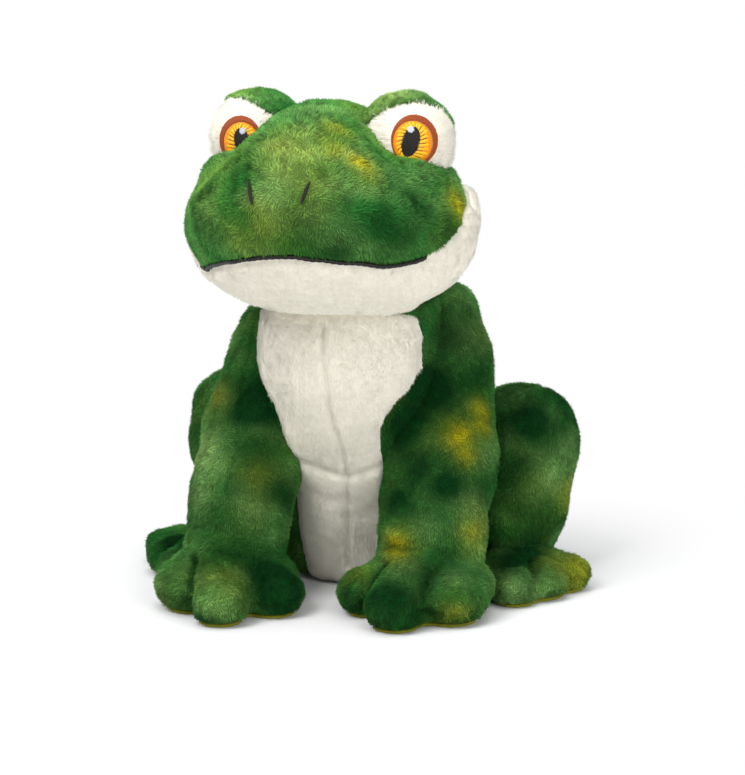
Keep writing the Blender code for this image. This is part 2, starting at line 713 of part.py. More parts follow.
def make_arm(side, word, looks, socket, torso_room):
    wrist = span("above the wrist", 2, WRIST_HEIGHT + SEAM_GAP, TORSO_HEIGHT)
    skin = shell(f"arm_skin_{word}", arm_form, side)
    fill = filling(f"arm_fill_{word}", arm_form, side)
    for piece in (skin, fill):
        common(piece, wrist, keep=True)
        cut(piece, socket, keep=True)
        cut(piece, torso_room, keep=True)
    bpy.data.objects.remove(wrist, do_unlink=True)
    finish(skin, looks["green"])
    finish(fill, looks["wadding"])
    hand_span = span("hand height", 2, SOLE_THICK + SEAM_GAP, WRIST_HEIGHT)
    sole = common(hand_form(f"hand_sole_{word}", side), span("sole", 2, 0.0, SOLE_THICK))
    hand = common(shell(f"hand_skin_{word}", hand_form, side), hand_span, keep=True)
    hand_fill = common(filling(f"hand_fill_{word}", hand_form, side), hand_span)
    finish(sole, looks["olive"])
    finish(hand, looks["green"])
    finish(hand_fill, looks["wadding"])


def make_leg(side, word, looks, leg_room):
    reach = 2.0 * TORSO_WIDTH
    sides = sorted((side * (HIP_FACE + SEAM_GAP), side * reach))
    hip = span("outside the hip", 0, *sides)
    floor = span("above the floor", 2, 0.0, reach)
    skin = shell(f"leg_skin_{word}", leg_form, side)
    fill = filling(f"leg_fill_{word}", leg_form, side)
    for piece in (skin, fill):
        common(piece, hip, keep=True)
        common(piece, floor, keep=True)
    finish(skin, looks["green"])
    finish(fill, looks["wadding"])
    foot_span = span("foot height", 2, SOLE_THICK + SEAM_GAP, reach)
    sole = common(foot_form(f"foot_sole_{word}", side), span("sole", 2, 0.0, SOLE_THICK))
    foot = common(shell(f"foot_skin_{word}", foot_form, side), foot_span, keep=True)
    foot_fill = common(filling(f"foot_fill_{word}", foot_form, side), foot_span)
    for piece in (sole, foot, foot_fill):
        cut(piece, leg_room, keep=True)
    finish(sole, looks["olive"])
    finish(foot, looks["green"])
    finish(foot_fill, looks["wadding"])
    for helper in (hip, floor):
        bpy.data.objects.remove(helper, do_unlink=True)


def hang(pivot_name, place, root, names):
    """Puts an empty on a seam's axis and hangs the named pieces on it, where they already are."""
    pivot = bpy.data.objects.new(pivot_name, None)
    pivot.empty_display_size = EYE_RADIUS
    pivot.location = place
    pivot.parent = root
    FROG.objects.link(pivot)
    for name in names:
        piece = bpy.data.objects[name]
        piece.data.transform(Matrix.Translation(-Vector(place)))
        piece.parent = pivot


def assemble():
    root = bpy.data.objects.new("frog_root", None)
    FROG.objects.link(root)
    names = [obj.name for obj in FROG.objects if obj.type == "MESH"]
    head_words = ("head", "jaw", "mouth", "nostril", "eye", "iris", "pupil")
    hang("neck_pivot", (0.0, NECK_Y, HEAD_BASE), root, [n for n in names if n.startswith(head_words)])
    for side, word in SIDES:
        arm = [n for n in names if n.startswith(("arm", "hand")) and n.endswith(word)]
        leg = [n for n in names if n.startswith(("leg", "foot")) and n.endswith(word)]
        hang(f"shoulder_pivot_{word}", (side * SHOULDER_FACE, SHOULDER_Y, SHOULDER_Z), root, arm)
        hang(f"hip_pivot_{word}", (side * HIP_FACE, HIP_Y, HIP_Z), root, leg)
    for name in names:
        if bpy.data.objects[name].parent is None:
            bpy.data.objects[name].parent = root
    bpy.context.view_layer.update()
    corners = [obj.matrix_world @ Vector(spot) for obj in FROG.objects for spot in obj.bound_box if obj.data]
    low = [min(corner[axis] for corner in corners) for axis in range(3)]
    high = [max(corner[axis] for corner in corners) for axis in range(3)]
    root.location = (-(low[0] + high[0]) / 2.0, -(low[1] + high[1]) / 2.0, 0.0)


SIDES = ((1.0, "left"), (-1.0, "right"))
clear_scene()
FROG = collection("plush frog")
WORKSHOP = collection("cutters")
LOOKS = {
    "green": material("green plush", GREEN),
    "olive": material("olive sole plush", OLIVE),
    "cream": material("cream plush", CREAM),
    "wadding": material("polyester wadding", WADDING),
    "bag": material("pellet bag cotton", CALICO),
    "rust": material("rust thread", RUST, THREAD_ROUGHNESS),
    "orange": material("orange thread", ORANGE, THREAD_ROUGHNESS),
    "black": material("black thread", BLACK, THREAD_ROUGHNESS),
    "lavender": material("lavender thread", LAVENDER, THREAD_ROUGHNESS),
}
make_torso(LOOKS)
make_thread(LOOKS)
make_head(LOOKS)
head_guide = head_form("head guide")
make_mouth(LOOKS, tree_of(head_guide))
bpy.data.objects.remove(head_guide, do_unlink=True)
head_gap = head_form("head gap", -SEAM_GAP)
socket_gap = shoulder_socket()
torso_gap = common(torso_form("torso gap", -SEAM_GAP), seats("torso gap limits", SEAM_GAP))
for side_sign, side_word in SIDES:
    make_eye(side_sign, side_word, LOOKS, head_gap)
    make_arm(side_sign, side_word, LOOKS, socket_gap, torso_gap)
    leg_gap = leg_form("leg gap", side_sign, -SEAM_GAP)
    make_leg(side_sign, side_word, LOOKS, leg_gap)
    bpy.data.objects.remove(leg_gap, do_unlink=True)
for guide in list(WORKSHOP.objects):
    bpy.data.objects.remove(guide, do_unlink=True)
assemble()
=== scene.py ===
# %% [markdown]
# # A sitting plush frog
#
# A soft toy is a few skins of short-pile plush, sewn edge to edge and filled with wadding.
# Each skin here is one smooth numpy surface, cut along its seams, drawn in there as stitching draws it,
# and then covered with short strands that lie in tufts. Sizes are in metres.

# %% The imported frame
import json
import math

import bpy
import numpy as np
from mathutils import Matrix, Vector
from mathutils.bvhtree import BVHTree

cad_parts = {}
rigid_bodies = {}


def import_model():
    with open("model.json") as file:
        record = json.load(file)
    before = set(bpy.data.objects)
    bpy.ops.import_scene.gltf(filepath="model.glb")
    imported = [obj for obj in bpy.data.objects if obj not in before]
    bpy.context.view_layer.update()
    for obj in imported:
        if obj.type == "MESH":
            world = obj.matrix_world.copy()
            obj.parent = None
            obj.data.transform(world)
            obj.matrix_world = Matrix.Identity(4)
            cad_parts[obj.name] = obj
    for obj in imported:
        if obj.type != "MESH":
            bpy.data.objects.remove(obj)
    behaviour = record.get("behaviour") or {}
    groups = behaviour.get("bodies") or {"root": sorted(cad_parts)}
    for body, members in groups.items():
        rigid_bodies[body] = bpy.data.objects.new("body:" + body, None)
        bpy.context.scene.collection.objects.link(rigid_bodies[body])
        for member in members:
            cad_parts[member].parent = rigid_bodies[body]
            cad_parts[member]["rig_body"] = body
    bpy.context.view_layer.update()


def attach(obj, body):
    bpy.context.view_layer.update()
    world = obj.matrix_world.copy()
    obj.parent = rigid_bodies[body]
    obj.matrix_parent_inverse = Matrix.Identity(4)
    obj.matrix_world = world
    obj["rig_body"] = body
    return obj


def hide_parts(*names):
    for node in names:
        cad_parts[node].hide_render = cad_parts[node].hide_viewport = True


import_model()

# %% [markdown]
# ## Colours and materials
#
# Airbrushed plush is one pile fabric with soft patches of other dyes, so one material mixes four greens by
# a dye attribute that each piece carries; its dark green is partly painted shade, in creases and on one foot.
# A "shade" attribute paints shade on the roots of the pile, where little light arrives, and on the cream
# low down, and paints light on some tips.


# %% Colour and material helpers
def linear(code):
    """An sRGB hex colour as linear red, green, blue and alpha: c / 12.92, or ((c + 0.055) / 1.055) ^ 2.4."""
    value = np.array([int(code[i : i + 2], 16) for i in (1, 3, 5)]) / 255
    flat = np.where(value <= 0.04045, value / 12.92, ((value + 0.055) / 1.055) ** 2.4)
    return (*flat.tolist(), 1.0)


def add(tree, kind, inputs=None, **settings):
    """One shader node with its settings. Inputs are plain values or the sockets that feed them."""
    node = tree.nodes.new(kind)
    for name, value in settings.items():
        setattr(node, name, value)
    for name, value in (inputs or {}).items():
        if isinstance(value, bpy.types.NodeSocket):
            tree.links.new(value, node.inputs[name])
        else:
            node.inputs[name].default_value = value
    return node


def material(name, colour, roughness, dyes=(), shaded=True):
    """A fabric: its colour, mixed with each dye colour by its channel of the dye attribute, whose dark green
    is partly painted shade, and multiplied by the shade attribute.
    """
    made = bpy.data.materials.new(name)
    made.use_nodes = True
    tree = made.node_tree
    shader = tree.nodes["Principled BSDF"]
    shader.inputs["Roughness"].default_value = roughness
    shader.inputs["Specular IOR Level"].default_value = 0.1 if shaded else 0.25
    shader.inputs["Base Color"].default_value = linear(colour)
    mixed = linear(colour)
    if dyes:
        dye = add(tree, "ShaderNodeAttribute", attribute_name="dye").outputs["Vector"]
        channels = add(tree, "ShaderNodeSeparateXYZ", {0: dye})
        for channel, other in enumerate(dyes):
            sockets = {0: channels.outputs[channel], 6: mixed, 7: linear(other)}
            mixed = add(tree, "ShaderNodeMix", sockets, data_type="RGBA").outputs[2]
    if shaded:
        shade = add(tree, "ShaderNodeAttribute", attribute_name="shade").outputs["Fac"]
        sockets = {0: 1.0, 6: mixed, 7: shade}
        mixed = add(tree, "ShaderNodeMix", sockets, data_type="RGBA", blend_type="MULTIPLY").outputs[2]
        tree.links.new(mixed, shader.inputs["Base Color"])
    return made


# short polyester pile, mid green, airbrushed with light green, yellow and dark green; the dark green also
# paints shade in the creases
GREEN = material("airbrushed green plush", "#348034", 0.9, ("#8fb768", "#b0a80c", "#053c12"))
# the same pile, undyed
CREAM = material("cream plush", "#f6f1e1", 0.9)
# flat-weave backing of the pads under hands and feet
OLIVE = material("olive plush pad", "#7f7f1e", 0.9, shaded=False)
# rayon embroidery threads, which shine a little along their length
RUST = material("rust embroidery thread", "#8c3d0c", 0.42, shaded=False)
ORANGE = material("orange embroidery thread", "#ee8a0a", 0.42, shaded=False)
GOLD = material("gold embroidery thread", "#f0b81c", 0.42, shaded=False)
BLACK = material("black embroidery thread", "#15120f", 0.45, shaded=False)
WHITE = material("pale lavender embroidery thread", "#c4c9d6", 0.42, shaded=False)
THREAD = material("green sewing thread", "#234d1f", 0.5, shaded=False)

# %% [markdown]
# ## Smooth surfaces
#
# A sewn and stuffed skin has no corners of its own, so each is a cubic B-spline surface over a few rings
# of points: the same rings that shape the toy's solids. Matrix products give all its points at once.
# Both ends close, because the rings go on as mirror images of themselves through the end point.


# %% Surface helpers
def spline_matrix(count, samples, closed):
    """Cubic B-spline weights (1-t)^3, 3t^3-6t^2+4, -3t^3+3t^2+3t+1 and t^3, over 6, one row per sample."""
    spans = count if closed else count - 3
    place = np.linspace(0, spans, samples, endpoint=not closed)
    whole = np.minimum(np.floor(place), spans - 1).astype(int)
    t = place - whole
    weights = np.stack([(1 - t) ** 3, 3 * t**3 - 6 * t**2 + 4, -3 * t**3 + 3 * t**2 + 3 * t + 1, t**3]) / 6
    matrix = np.zeros((samples, count))
    for k in range(4):
        matrix[np.arange(samples), (whole + k - closed) % count] += weights[k]
    return matrix


def ovals(centres, across, along, half_across, half_along, sides=12):
    """Ring k, point i: c_k + a (w_k g cos t_i) + b (d_k g sin t_i), where g undoes the spline's shrinking."""
    t = 2 * math.pi * (np.arange(sides) + 0.5) / sides
    grow = 3 / (2 + math.cos(2 * math.pi / sides))
    wide = (half_across[:, None] * np.cos(t) * grow)[..., None] * across
    deep = (half_along[:, None] * np.sin(t) * grow)[..., None] * along
    return centres[:, None] + wide + deep


def cells(a, b, c, d):
    """Two triangles for each cell with the corners a, b, c and d, less the flat ones."""
    found = np.concatenate([np.stack([a, b, c], -1).reshape(-1, 3), np.stack([a, c, d], -1).reshape(-1, 3)])
    return found[(found[:, 0] != found[:, 1]) & (found[:, 1] != found[:, 2]) & (found[:, 2] != found[:, 0])]


def closed_triangles(rows, columns, last=None):
    """The cells of a grid that is closed around. Its first row is one point, and its last row if given."""
    index = (np.arange(rows * columns).reshape(rows, columns) - columns + 1).clip(0, last)
    a, b = index[:-1], index[1:]
    return cells(a, b, np.roll(b, -1, 1), np.roll(a, -1, 1))


def closed_surface(grid):
    """Points and outward triangles of a grid whose first and last rows are single points."""
    rows, columns, _ = grid.shape
    points = np.concatenate([grid[:1, 0], grid[1:-1].reshape(-1, 3), grid[-1:, 0]])
    triangles = closed_triangles(rows, columns, 1 + (rows - 2) * columns)
    a, b, c = (points[triangles[:, k]] for k in range(3))
    return points, triangles if np.sum(a * np.cross(b, c)) > 0 else triangles[:, ::-1]


def lofted(rings, rows, columns):
    """S(u, v) = A(u) C B(v): the B-spline surface over the cage C, closed at the first and last ring."""
    first, last = rings[:1].mean(1, keepdims=True), rings[-1:].mean(1, keepdims=True)
    flat = np.ones_like(rings[:1])
    cage = np.concatenate([2 * first - rings[:1], first * flat, rings, last * flat, 2 * last - rings[-1:]])
    along, around = spline_matrix(len(cage), rows, False), spline_matrix(cage.shape[1], columns, True)
    return closed_surface(np.einsum("ri,ijk,cj->rck", along, cage, around))


def unit(vectors):
    """v / |v| along the last axis."""
    return vectors / np.maximum(np.linalg.norm(vectors, axis=-1, keepdims=True), 1e-12)


def normals_of(points, triangles):
    """The mean of the face normals around each point, by area."""
    a, b, c = (points[triangles[:, k]] for k in range(3))
    face = np.cross(b - a, c - a)
    total = [np.bincount(triangles.ravel(), np.repeat(face[:, k], 3), len(points)) for k in range(3)]
    return unit(np.stack(total, 1))


def split(points, triangles, side):
    """Cuts the triangles along side = 0. Returns all points, the triangles above 0, those below, and side."""
    above = side[triangles] > 0
    count = above.sum(1)
    mixed = triangles[(count == 1) | (count == 2)]
    lone = np.where((side[mixed] > 0).sum(1) == 1, 1, -1)
    first = ((side[mixed] * lone[:, None]) > 0).argmax(1)
    a, b, c = mixed[np.arange(len(mixed))[:, None], (first[:, None] + np.arange(3)) % 3].T
    edges = np.sort(np.concatenate([np.stack([a, b], 1), np.stack([a, c], 1)]), axis=1)
    unique, inverse = np.unique(edges, axis=0, return_inverse=True)
    low, high = unique.T
    t = (side[low] / (side[low] - side[high]))[:, None]
    p, q = len(points) + inverse.reshape(2, -1)
    tips = np.stack([a, p, q], 1)
    rests = np.concatenate([np.stack([p, b, c], 1), np.stack([p, c, q], 1)])
    up, both = lone > 0, np.tile(lone > 0, 2)
    cut_points = np.concatenate([points, points[low] + t * (points[high] - points[low])])
    in_triangles = np.concatenate([triangles[count == 3], tips[up], rests[~both]])
    out_triangles = np.concatenate([triangles[count == 0], tips[~up], rests[both]])
    return cut_points, in_triangles, out_triangles, np.concatenate([side, np.zeros(len(unique))])


def ripple(points, size, seed, waves=14):
    """A smooth noise of about -1 to 1: the sum of sin(k.p + f) over random directions, size metres long."""
    chance = np.random.default_rng(seed)
    way = unit(chance.normal(size=(waves, 3))) * chance.uniform(0.6, 1.5, (waves, 1))
    turns = points @ way.T * (2 * math.pi / size) + chance.uniform(0, 2 * math.pi, waves)
    return np.sin(turns).sum(1) / math.sqrt(waves)


def distance_to(points, line):
    """Distance to a line through several places: the least over its legs of |p - (a + t (b - a))|."""
    line = np.array(line)
    best = np.full(len(points), 1.0)
    for a, b in zip(line[:-1], line[1:]):
        leg = b - a
        t = np.clip((points - a) @ leg / (leg @ leg), 0, 1)
        best = np.minimum(best, np.linalg.norm(points - a - t[:, None] * leg, axis=1))
    return best


def dent(distance, width):
    """A rounded hollow of unit depth: -exp(-(d / width)^2)."""
    return -np.exp(-((distance / width) ** 2))


def mm(places):
    """Places given in millimetres, as an array in metres."""
    return np.array(places) / 1000


def draw_in(height, points, creases):
    """The height less a hollow along each crease, which is a line, a width and a depth in mm."""
    for line, width, depth in creases:
        height = height + depth / 1000 * dent(distance_to(points, mm(line)), width / 1000)
    return height


# %% [markdown]
# ## Pieces and pile
#
# A piece keeps only the points that its triangles use. The pile is real geometry, because its fuzzy outline
# is what tells plush from clay: slim three-sided spikes, which look the same from every side where a flat
# blade would show its dark back. The places follow the skin's area, and a smooth noise turns
# neighbouring strands alike, which makes tufts. The skin lies a little inside, so that the tips end at size.


# %% Mesh helpers
def piece(name, points, triangles, finish, body, slot, normals=None, uv=None, **attributes):
    """A smooth mesh object made where it belongs, riding on its body. Attributes are per point."""
    name = name.replace(" ", "_")
    used, flat = np.unique(triangles, return_inverse=True)
    mesh = bpy.data.meshes.new(name)
    mesh.vertices.add(len(used))
    mesh.vertices.foreach_set("co", points[used].astype(np.float32).ravel())
    mesh.loops.add(flat.size)
    mesh.loops.foreach_set("vertex_index", flat.astype(np.int32).ravel())
    mesh.polygons.add(len(triangles))
    mesh.polygons.foreach_set("loop_start", np.arange(0, flat.size, 3, dtype=np.int32))
    mesh.update(calc_edges=True)
    mesh.shade_smooth()
    for key, values in attributes.items():
        values = np.broadcast_to(values, (len(points), *np.shape(values)[1:]))[used].astype(np.float32)
        kind, field = ("FLOAT", "value") if values.ndim == 1 else ("FLOAT_VECTOR", "vector")
        mesh.attributes.new(key, kind, "POINT").data.foreach_set(field, values.ravel())
    if uv is not None:
        places = uv[used][flat.ravel()].astype(np.float32)
        mesh.uv_layers.new(name="OFBake").data.foreach_set("uv", places.ravel())
    if normals is not None:
        mesh.normals_split_custom_set_from_vertices(normals[used])
    mesh.materials.append(finish)
    made = bpy.data.objects.new(name, mesh)
    bpy.context.scene.collection.objects.link(made)
    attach(made, body)
    return made


INSET = 0.0006  # how far the skin lies inside the size of the toy
STRAND_HALF = 0.00023  # half the width of a strand at its root
ROOT_DEPTH = 0.0002
# turn in tufts, unevenness of shade, painted shade of the root and painted light of the tip, and how far the
# strands lie over
GREEN_COAT = (0.45, 0.14, 0.45, 1.4, 0.95)
CREAM_COAT = (0.25, 0.03, 0.86, 1.06, 1.1)


def pile(cover, points, triangles, normals, count, length, comb, seed, keep=None, cream=False):
    """Strand i is a spike from r to r + L (n cos b + c sin b), where b is how far the pile lies over.

    n is the skin's normal there, and c is the comb's direction along the skin, turned by the tuft noise."""
    finish, slot = (CREAM, "cream_plush") if cream else (GREEN, "green_plush")
    tuft, mottle, root_shade, tip_shade, over = CREAM_COAT if cream else GREEN_COAT
    chance = np.random.default_rng(seed)
    corners = points[triangles]
    area = np.linalg.norm(np.cross(corners[:, 1] - corners[:, 0], corners[:, 2] - corners[:, 0]), axis=1)
    share = np.cumsum(area) / area.sum()
    places = (np.arange(count) + chance.random(count)) / count
    found = np.minimum(np.searchsorted(share, places), len(area) - 1)
    first, second = np.sqrt(chance.random(count)), chance.random(count)
    weights = np.stack([1 - first, first * (1 - second), first * second], 1)[..., None]
    root = (corners[found] * weights).sum(1)
    normal = unit((normals[triangles[found]] * weights).sum(1))
    if keep is not None:
        kept = keep(root)
        root, normal = root[kept], normal[kept]
    count = len(root)
    way = comb(root) if callable(comb) else np.array(comb)[None, :]
    swirl = [ripple(root, 0.0045, seed + k) + 0.7 * ripple(root, 0.014, seed + 9 + k) for k in range(3)]
    swirl = np.stack(swirl, 1)
    way = unit(way) + tuft * swirl + chance.normal(0, 0.12, (count, 3))
    way = unit(way - (way * normal).sum(1, keepdims=True) * normal)
    beside = np.cross(normal, way)
    long = (length * (1 + 0.12 * ripple(root, 0.006, seed + 20)) * chance.uniform(0.75, 1.2, count))[:, None]
    thick = (STRAND_HALF * chance.uniform(0.75, 1.25, count))[:, None]
    lean = (over + 0.16 * ripple(root, 0.0032, seed + 40) + chance.normal(0, 0.12, count))[:, None]
    tip = root + long * (normal * np.cos(lean) + way * np.sin(lean))
    turns = [(math.cos(a), math.sin(a)) for a in (0, 2 * math.pi / 3, 4 * math.pi / 3)]
    spread = np.stack([c * way + s * beside for c, s in turns] + [0 * way], 1)
    strands = (root - ROOT_DEPTH * normal)[:, None] + thick[:, None] * spread
    strands[:, 3] = tip
    strands[..., 2] = np.maximum(strands[..., 2], 0.0002)
    faces = np.array([[0, 1, 3], [1, 2, 3], [2, 0, 3]]) + 4 * np.arange(count)[:, None, None]
    facing = unit(normal[:, None] + 0.6 * spread)
    tone = 1 + mottle * ripple(root, 0.0026, seed + 30) + chance.normal(0, mottle, count)
    shade = tone[:, None].clip(0.4, 1.6) * np.array([root_shade, root_shade, root_shade, tip_shade])
    # the cream pile is painted darker towards the seat, as shade
    if cream:
        shade = shade * painted_seat_shade(root)[:, None]
    side = math.ceil(math.sqrt(count))
    cell = np.stack([np.arange(count) % side, np.arange(count) // side], 1)[:, None]
    shape = np.array([[0.15, 0.15], [0.85, 0.15], [0.5, 0.3], [0.5, 0.9]])
    extra = {} if cream else {"dye": np.repeat(dye(root), 4, 0)}
    made = piece(
        f"{cover.name} pile", strands.reshape(-1, 3), faces.reshape(-1, 3), finish, cover["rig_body"], slot,
        facing.reshape(-1, 3), ((cell + shape) / side).reshape(-1, 2), shade=shade.ravel(), **extra,
    )
    made.parent = cover
    made.matrix_parent_inverse = Matrix.Identity(4)
    return made


# %% [markdown]
# ## The airbrushed dye
#
# Soft patches of yellow, light green and dark green are sprayed on mid-green plush before it is cut.
# Each patch here is a place and a reach in mm and an amount, spread by exp(-(d / reach)^2), and a soft noise
# mottles everything between them. Below the neck the dark green is denser. Along the folds and the valleys
# between the toes the dark green is painted shade, and so are some patches on the left foot beside its thigh.
# The back and the hidden sides have the noise alone.

# %% Dye and painted shade
YELLOW_PLACES = (
    (22, -51, 157, 6, 0.75), (13, -52, 163, 7, 0.5), (12, -44, 167, 6, 0.45), (46, -20, 141, 6, 0.8),
    (47, -16, 137, 5, 0.7), (-12, -69, 136, 8, 0.22), (-6, -70, 141, 7, 0.25), (50, 3, 68, 6, 0.85),
    (49, 2, 63, 5, 0.7), (43, -6, 61, 6, 0.9), (45, -7, 55, 5, 0.7), (49, -12, 30, 6, 0.5),
    (26, -22, 25, 6, 0.9), (-23, -21, 47, 8, 0.35), (-43, -4, 68, 8, 0.35), (-27, -46, 12, 7, 0.4),
    (73, 42, 30, 7, 0.5), (79, 24, 7, 7, 0.55), (70, 18, 11, 7, 0.3), (48, -32, 6, 6, 0.5),
    (13, -24, 15, 6, 0.3), (2, -60, 161, 12, 0.28),
)
# dark green patches, partly painted shade: those on the left foot beside its thigh
DARK_DYE_AND_SHADE_PLACES = (
    (-19, -55, 158, 7, 0.5), (-29, -57, 147, 8, 0.6), (-30, -60, 139, 8, 0.6), (-27, -62, 132, 7, 0.5),
    (30, -43, 153, 6, 0.5), (36, -44, 146, 9, 0.45), (41, -40, 139, 9, 0.55), (36, -52, 133, 10, 0.5),
    (8, -70, 139, 7, 0.5), (20, -64, 130, 8, 0.6), (33, -57, 128, 7, 0.6), (44, -30, 134, 8, 0.6),
    (30, 0, 76, 11, 0.8), (26, -5, 64, 9, 0.8), (31, -12, 50, 9, 0.6), (40, -14, 44, 9, 0.7),
    (24, -14, 40, 9, 0.5), (34, 12, 92, 9, 0.5), (-30, -9, 66, 11, 0.8), (-27, -14, 56, 9, 0.6),
    (-18, -16, 38, 9, 0.6), (-14, -35, 13, 10, 0.8), (-10, -34, 8, 9, 0.6), (-30, -34, 20, 7, 0.4),
    (60, 28, 58, 11, 1.0), (57, 25, 46, 8, 0.7), (56, 23, 28, 7, 0.3), (58, 12, 10, 9, 1.0),
    (62, 20, 11, 8, 0.9), (63, 30, 15, 7, 0.7), (31, -42, 12, 9, 0.7), (35, -30, 14, 10, 0.4),
    (-42, -42, 11, 9, 0.35), (12, -29, 7, 7, 0.5), (-65, 10, 10, 8, 0.5), (-64, 28, 50, 8, 0.4),
)
LIGHT_PLACES = (
    (2, -60, 162, 11, 0.6), (-2, -38, 172, 10, 0.35), (18, -63, 152, 8, 0.35), (-1, -69, 150, 9, 0.45),
    (14, -68, 146, 8, 0.3), (20, -66, 138, 8, 0.3), (43, 16, 90, 9, 0.5), (50, 0, 52, 6, 0.5),
    (47, -11, 38, 8, 0.6), (36, -20, 31, 6, 0.4), (-44, -3, 66, 9, 0.4), (-47, -14, 50, 10, 0.6),
    (-45, -22, 38, 9, 0.6), (-27, -25, 36, 8, 0.5), (-50, -39, 5, 8, 0.5), (-27, -50, 8, 8, 0.4),
    (-23, -40, 14, 5, 0.3), (66, 6, 4, 9, 0.6), (62, -3, 6, 8, 0.5), (72, 40, 50, 8, 0.4),
    (67, 34, 38, 8, 0.3), (30, -28, 18, 6, 0.3), (46, -26, 16, 6, 0.3), (25, -15, 178, 9, 1.0),
    (20, -50, 158, 8, 0.5),
)
# folds that are both drawn in and darkened with painted shade, in mm
WRISTS = {
    1: [(20, -19, 24), (34.5, -24, 24.4), (43, -22, 22.6), (52, -14, 20)],
    -1: [(-49, -24, 28), (-36, -31.5, 27.5), (-27, -31, 27), (-18, -25, 26)],
}
ARM_SEAM = [(-35, 9, 92), (-35.2, -4, 73), (-35.1, -13.5, 59), (-33.5, -24.4, 41.3), (-32, -28.5, 30)]
# dark green painted as shade in the valleys between the toes, in the wrist folds and along one arm seam
CREASE_SHADE_LINES = (
    ([(-43, -29, 20), (-41.2, -39.7, 13.5), (-38, -53, 8), (-38, -58, 2)], 2.4, 0.95),
    ([(-23, -29, 20), (-20.4, -35.5, 14.2), (-17, -41, 8), (-15, -44, 2)], 2.4, 0.95),
    ([(24.5, -20, 20), (20, -25, 14), (17, -30, 8), (15, -34, 2)], 2.4, 0.95),
    ([(37.4, -22, 20), (38.5, -31.4, 13), (39.5, -40, 7), (40, -44, 2)], 2.4, 0.95),
    (WRISTS[-1], 2.2, 0.7), (WRISTS[1], 2.2, 0.7), (ARM_SEAM, 1.6, 0.7),
)


def spots(points, places):
    """The strongest of amount exp(-(d / reach)^2) over the places."""
    most = np.zeros(len(points))
    for *centre, reach, amount in places:
        gap = np.linalg.norm(points - mm(centre), axis=1) / (reach / 1000)
        most = np.maximum(most, amount * np.exp(-(gap**2)))
    return most


def dye(points):
    """Amounts of light green, yellow and dark green at each point, the dark green partly painted shade."""
    broad, fine = ripple(points, 0.034, 3), ripple(points, 0.012, 4)
    light = 0.14 + 0.12 * broad + 0.09 * fine + spots(points, LIGHT_PLACES)
    yellow = 1.1 * spots(points, YELLOW_PLACES) * (0.9 + 0.2 * fine)
    yellow = yellow + 0.10 * np.maximum(ripple(points, 0.04, 5), 0)
    deep = 0.20 - 0.16 * broad + 0.13 * ripple(points, 0.018, 6) + spots(points, DARK_DYE_AND_SHADE_PLACES)
    deep += 0.24 * np.clip((0.104 - points[:, 2]) / 0.010, 0, 1)
    deep = deep * (1 - yellow.clip(0, 1)) * (1 - 0.6 * spots(points, LIGHT_PLACES))
    # painted shade, as dark green, along the creases
    for line, reach, amount in CREASE_SHADE_LINES:
        gap = distance_to(points, mm(line)) * 1000 / reach
        deep = np.maximum(deep, amount * np.exp(-(gap**2)))
    return np.stack([light, yellow, deep], 1).clip(0, 1)


def painted_seat_shade(points):
    """How light the cream is painted: 1 above 55 mm, falling to 0.78 at the seat, as painted shade low on the
    belly.
    """
    return 1 - 0.22 * np.clip((0.055 - points[:, 2]) / 0.035, 0, 1)


def padded_cover(name, points, triangles, body, nodes, cream=False):
    """A stuffed skin, painted with shade like the roots of its pile, that stands for its solid and its
    wadding.
    """
    if cream:
        # the cream skin gets the same painted shade towards the seat
        made = piece(name, points, triangles, CREAM, body, "cream_plush", shade=0.95 * painted_seat_shade(points))
    else:
        # painted shade: the skin under the green pile is as dark as the shaded roots
        shade = np.full(len(points), 0.5)
        made = piece(name, points, triangles, GREEN, body, "green_plush", shade=shade, dye=dye(points))
    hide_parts(*nodes)
    return made


# %% [markdown]
# ## Head
#
# The head is one broad form, pinched between the eyes. The lower jaw is a cream panel let into it: its upper
# edge is the mouth, which sweeps up over each cheek to a straight-cut end. The seam is drawn in, and the
# wadding pushes the cream out below it.

# %% Head
TO_ROW = 0.008976  # from the Y in which the rings are written to the frame's Y
HEAD_BASE = 0.104
HEAD_RINGS = np.array([
    (0, 0.20, 0.42, 0.62, 0), (0.035, 0.43, 0.33, 0.73, 0), (0.14, 0.67, 0.20, 0.86, 0.2),
    (0.29, 0.85, 0.07, 0.95, 0.7), (0.46, 0.99, -0.03, 0.985, 1), (0.62, 1.05, -0.05, 0.98, 1),
    (0.79, 0.92, -0.04, 0.92, 0.5), (0.93, 0.62, 0.08, 0.79, 0), (1.00, 0.30, 0.26, 0.62, 0),
])  # place behind the nose, half width, base, top and pinch, as shares
ROUND = np.array([(0, 1), (0.38, 0.88), (0.72, 0.52), (0.99, 0.02), (0.89, -0.50), (0.58, -0.92), (0, -1)])
PINCHED = np.array([(0, 1), (0.31, 0.83), (0.53, 0.40), (0.98, 0.05), (0.89, -0.50), (0.58, -0.92), (0, -1)])
MOUTH_ACROSS = mm([-37.4, -32, -17.5, -8.5, 0, 5, 14, 22, 28.6, 34, 46])
MOUTH_HEIGHT = mm([113.7, 119.9, 124.7, 126.6, 127.6, 127.6, 126.8, 125.3, 124.1, 123.9, 124.3])
CHEEK_BACK = mm([-42, -38.8, -33.1, -20.5, -16.7, -9.3, -7])
CHEEK_RISE = mm([0, 1.5, 4.5, 11.0, 14.4, 16.2, 22])
JAW_END_HEIGHT = mm([90, 104, 115, 123, 140, 150])
JAW_END_BACK = mm([-13, -11, -7, -4, 2, 5])


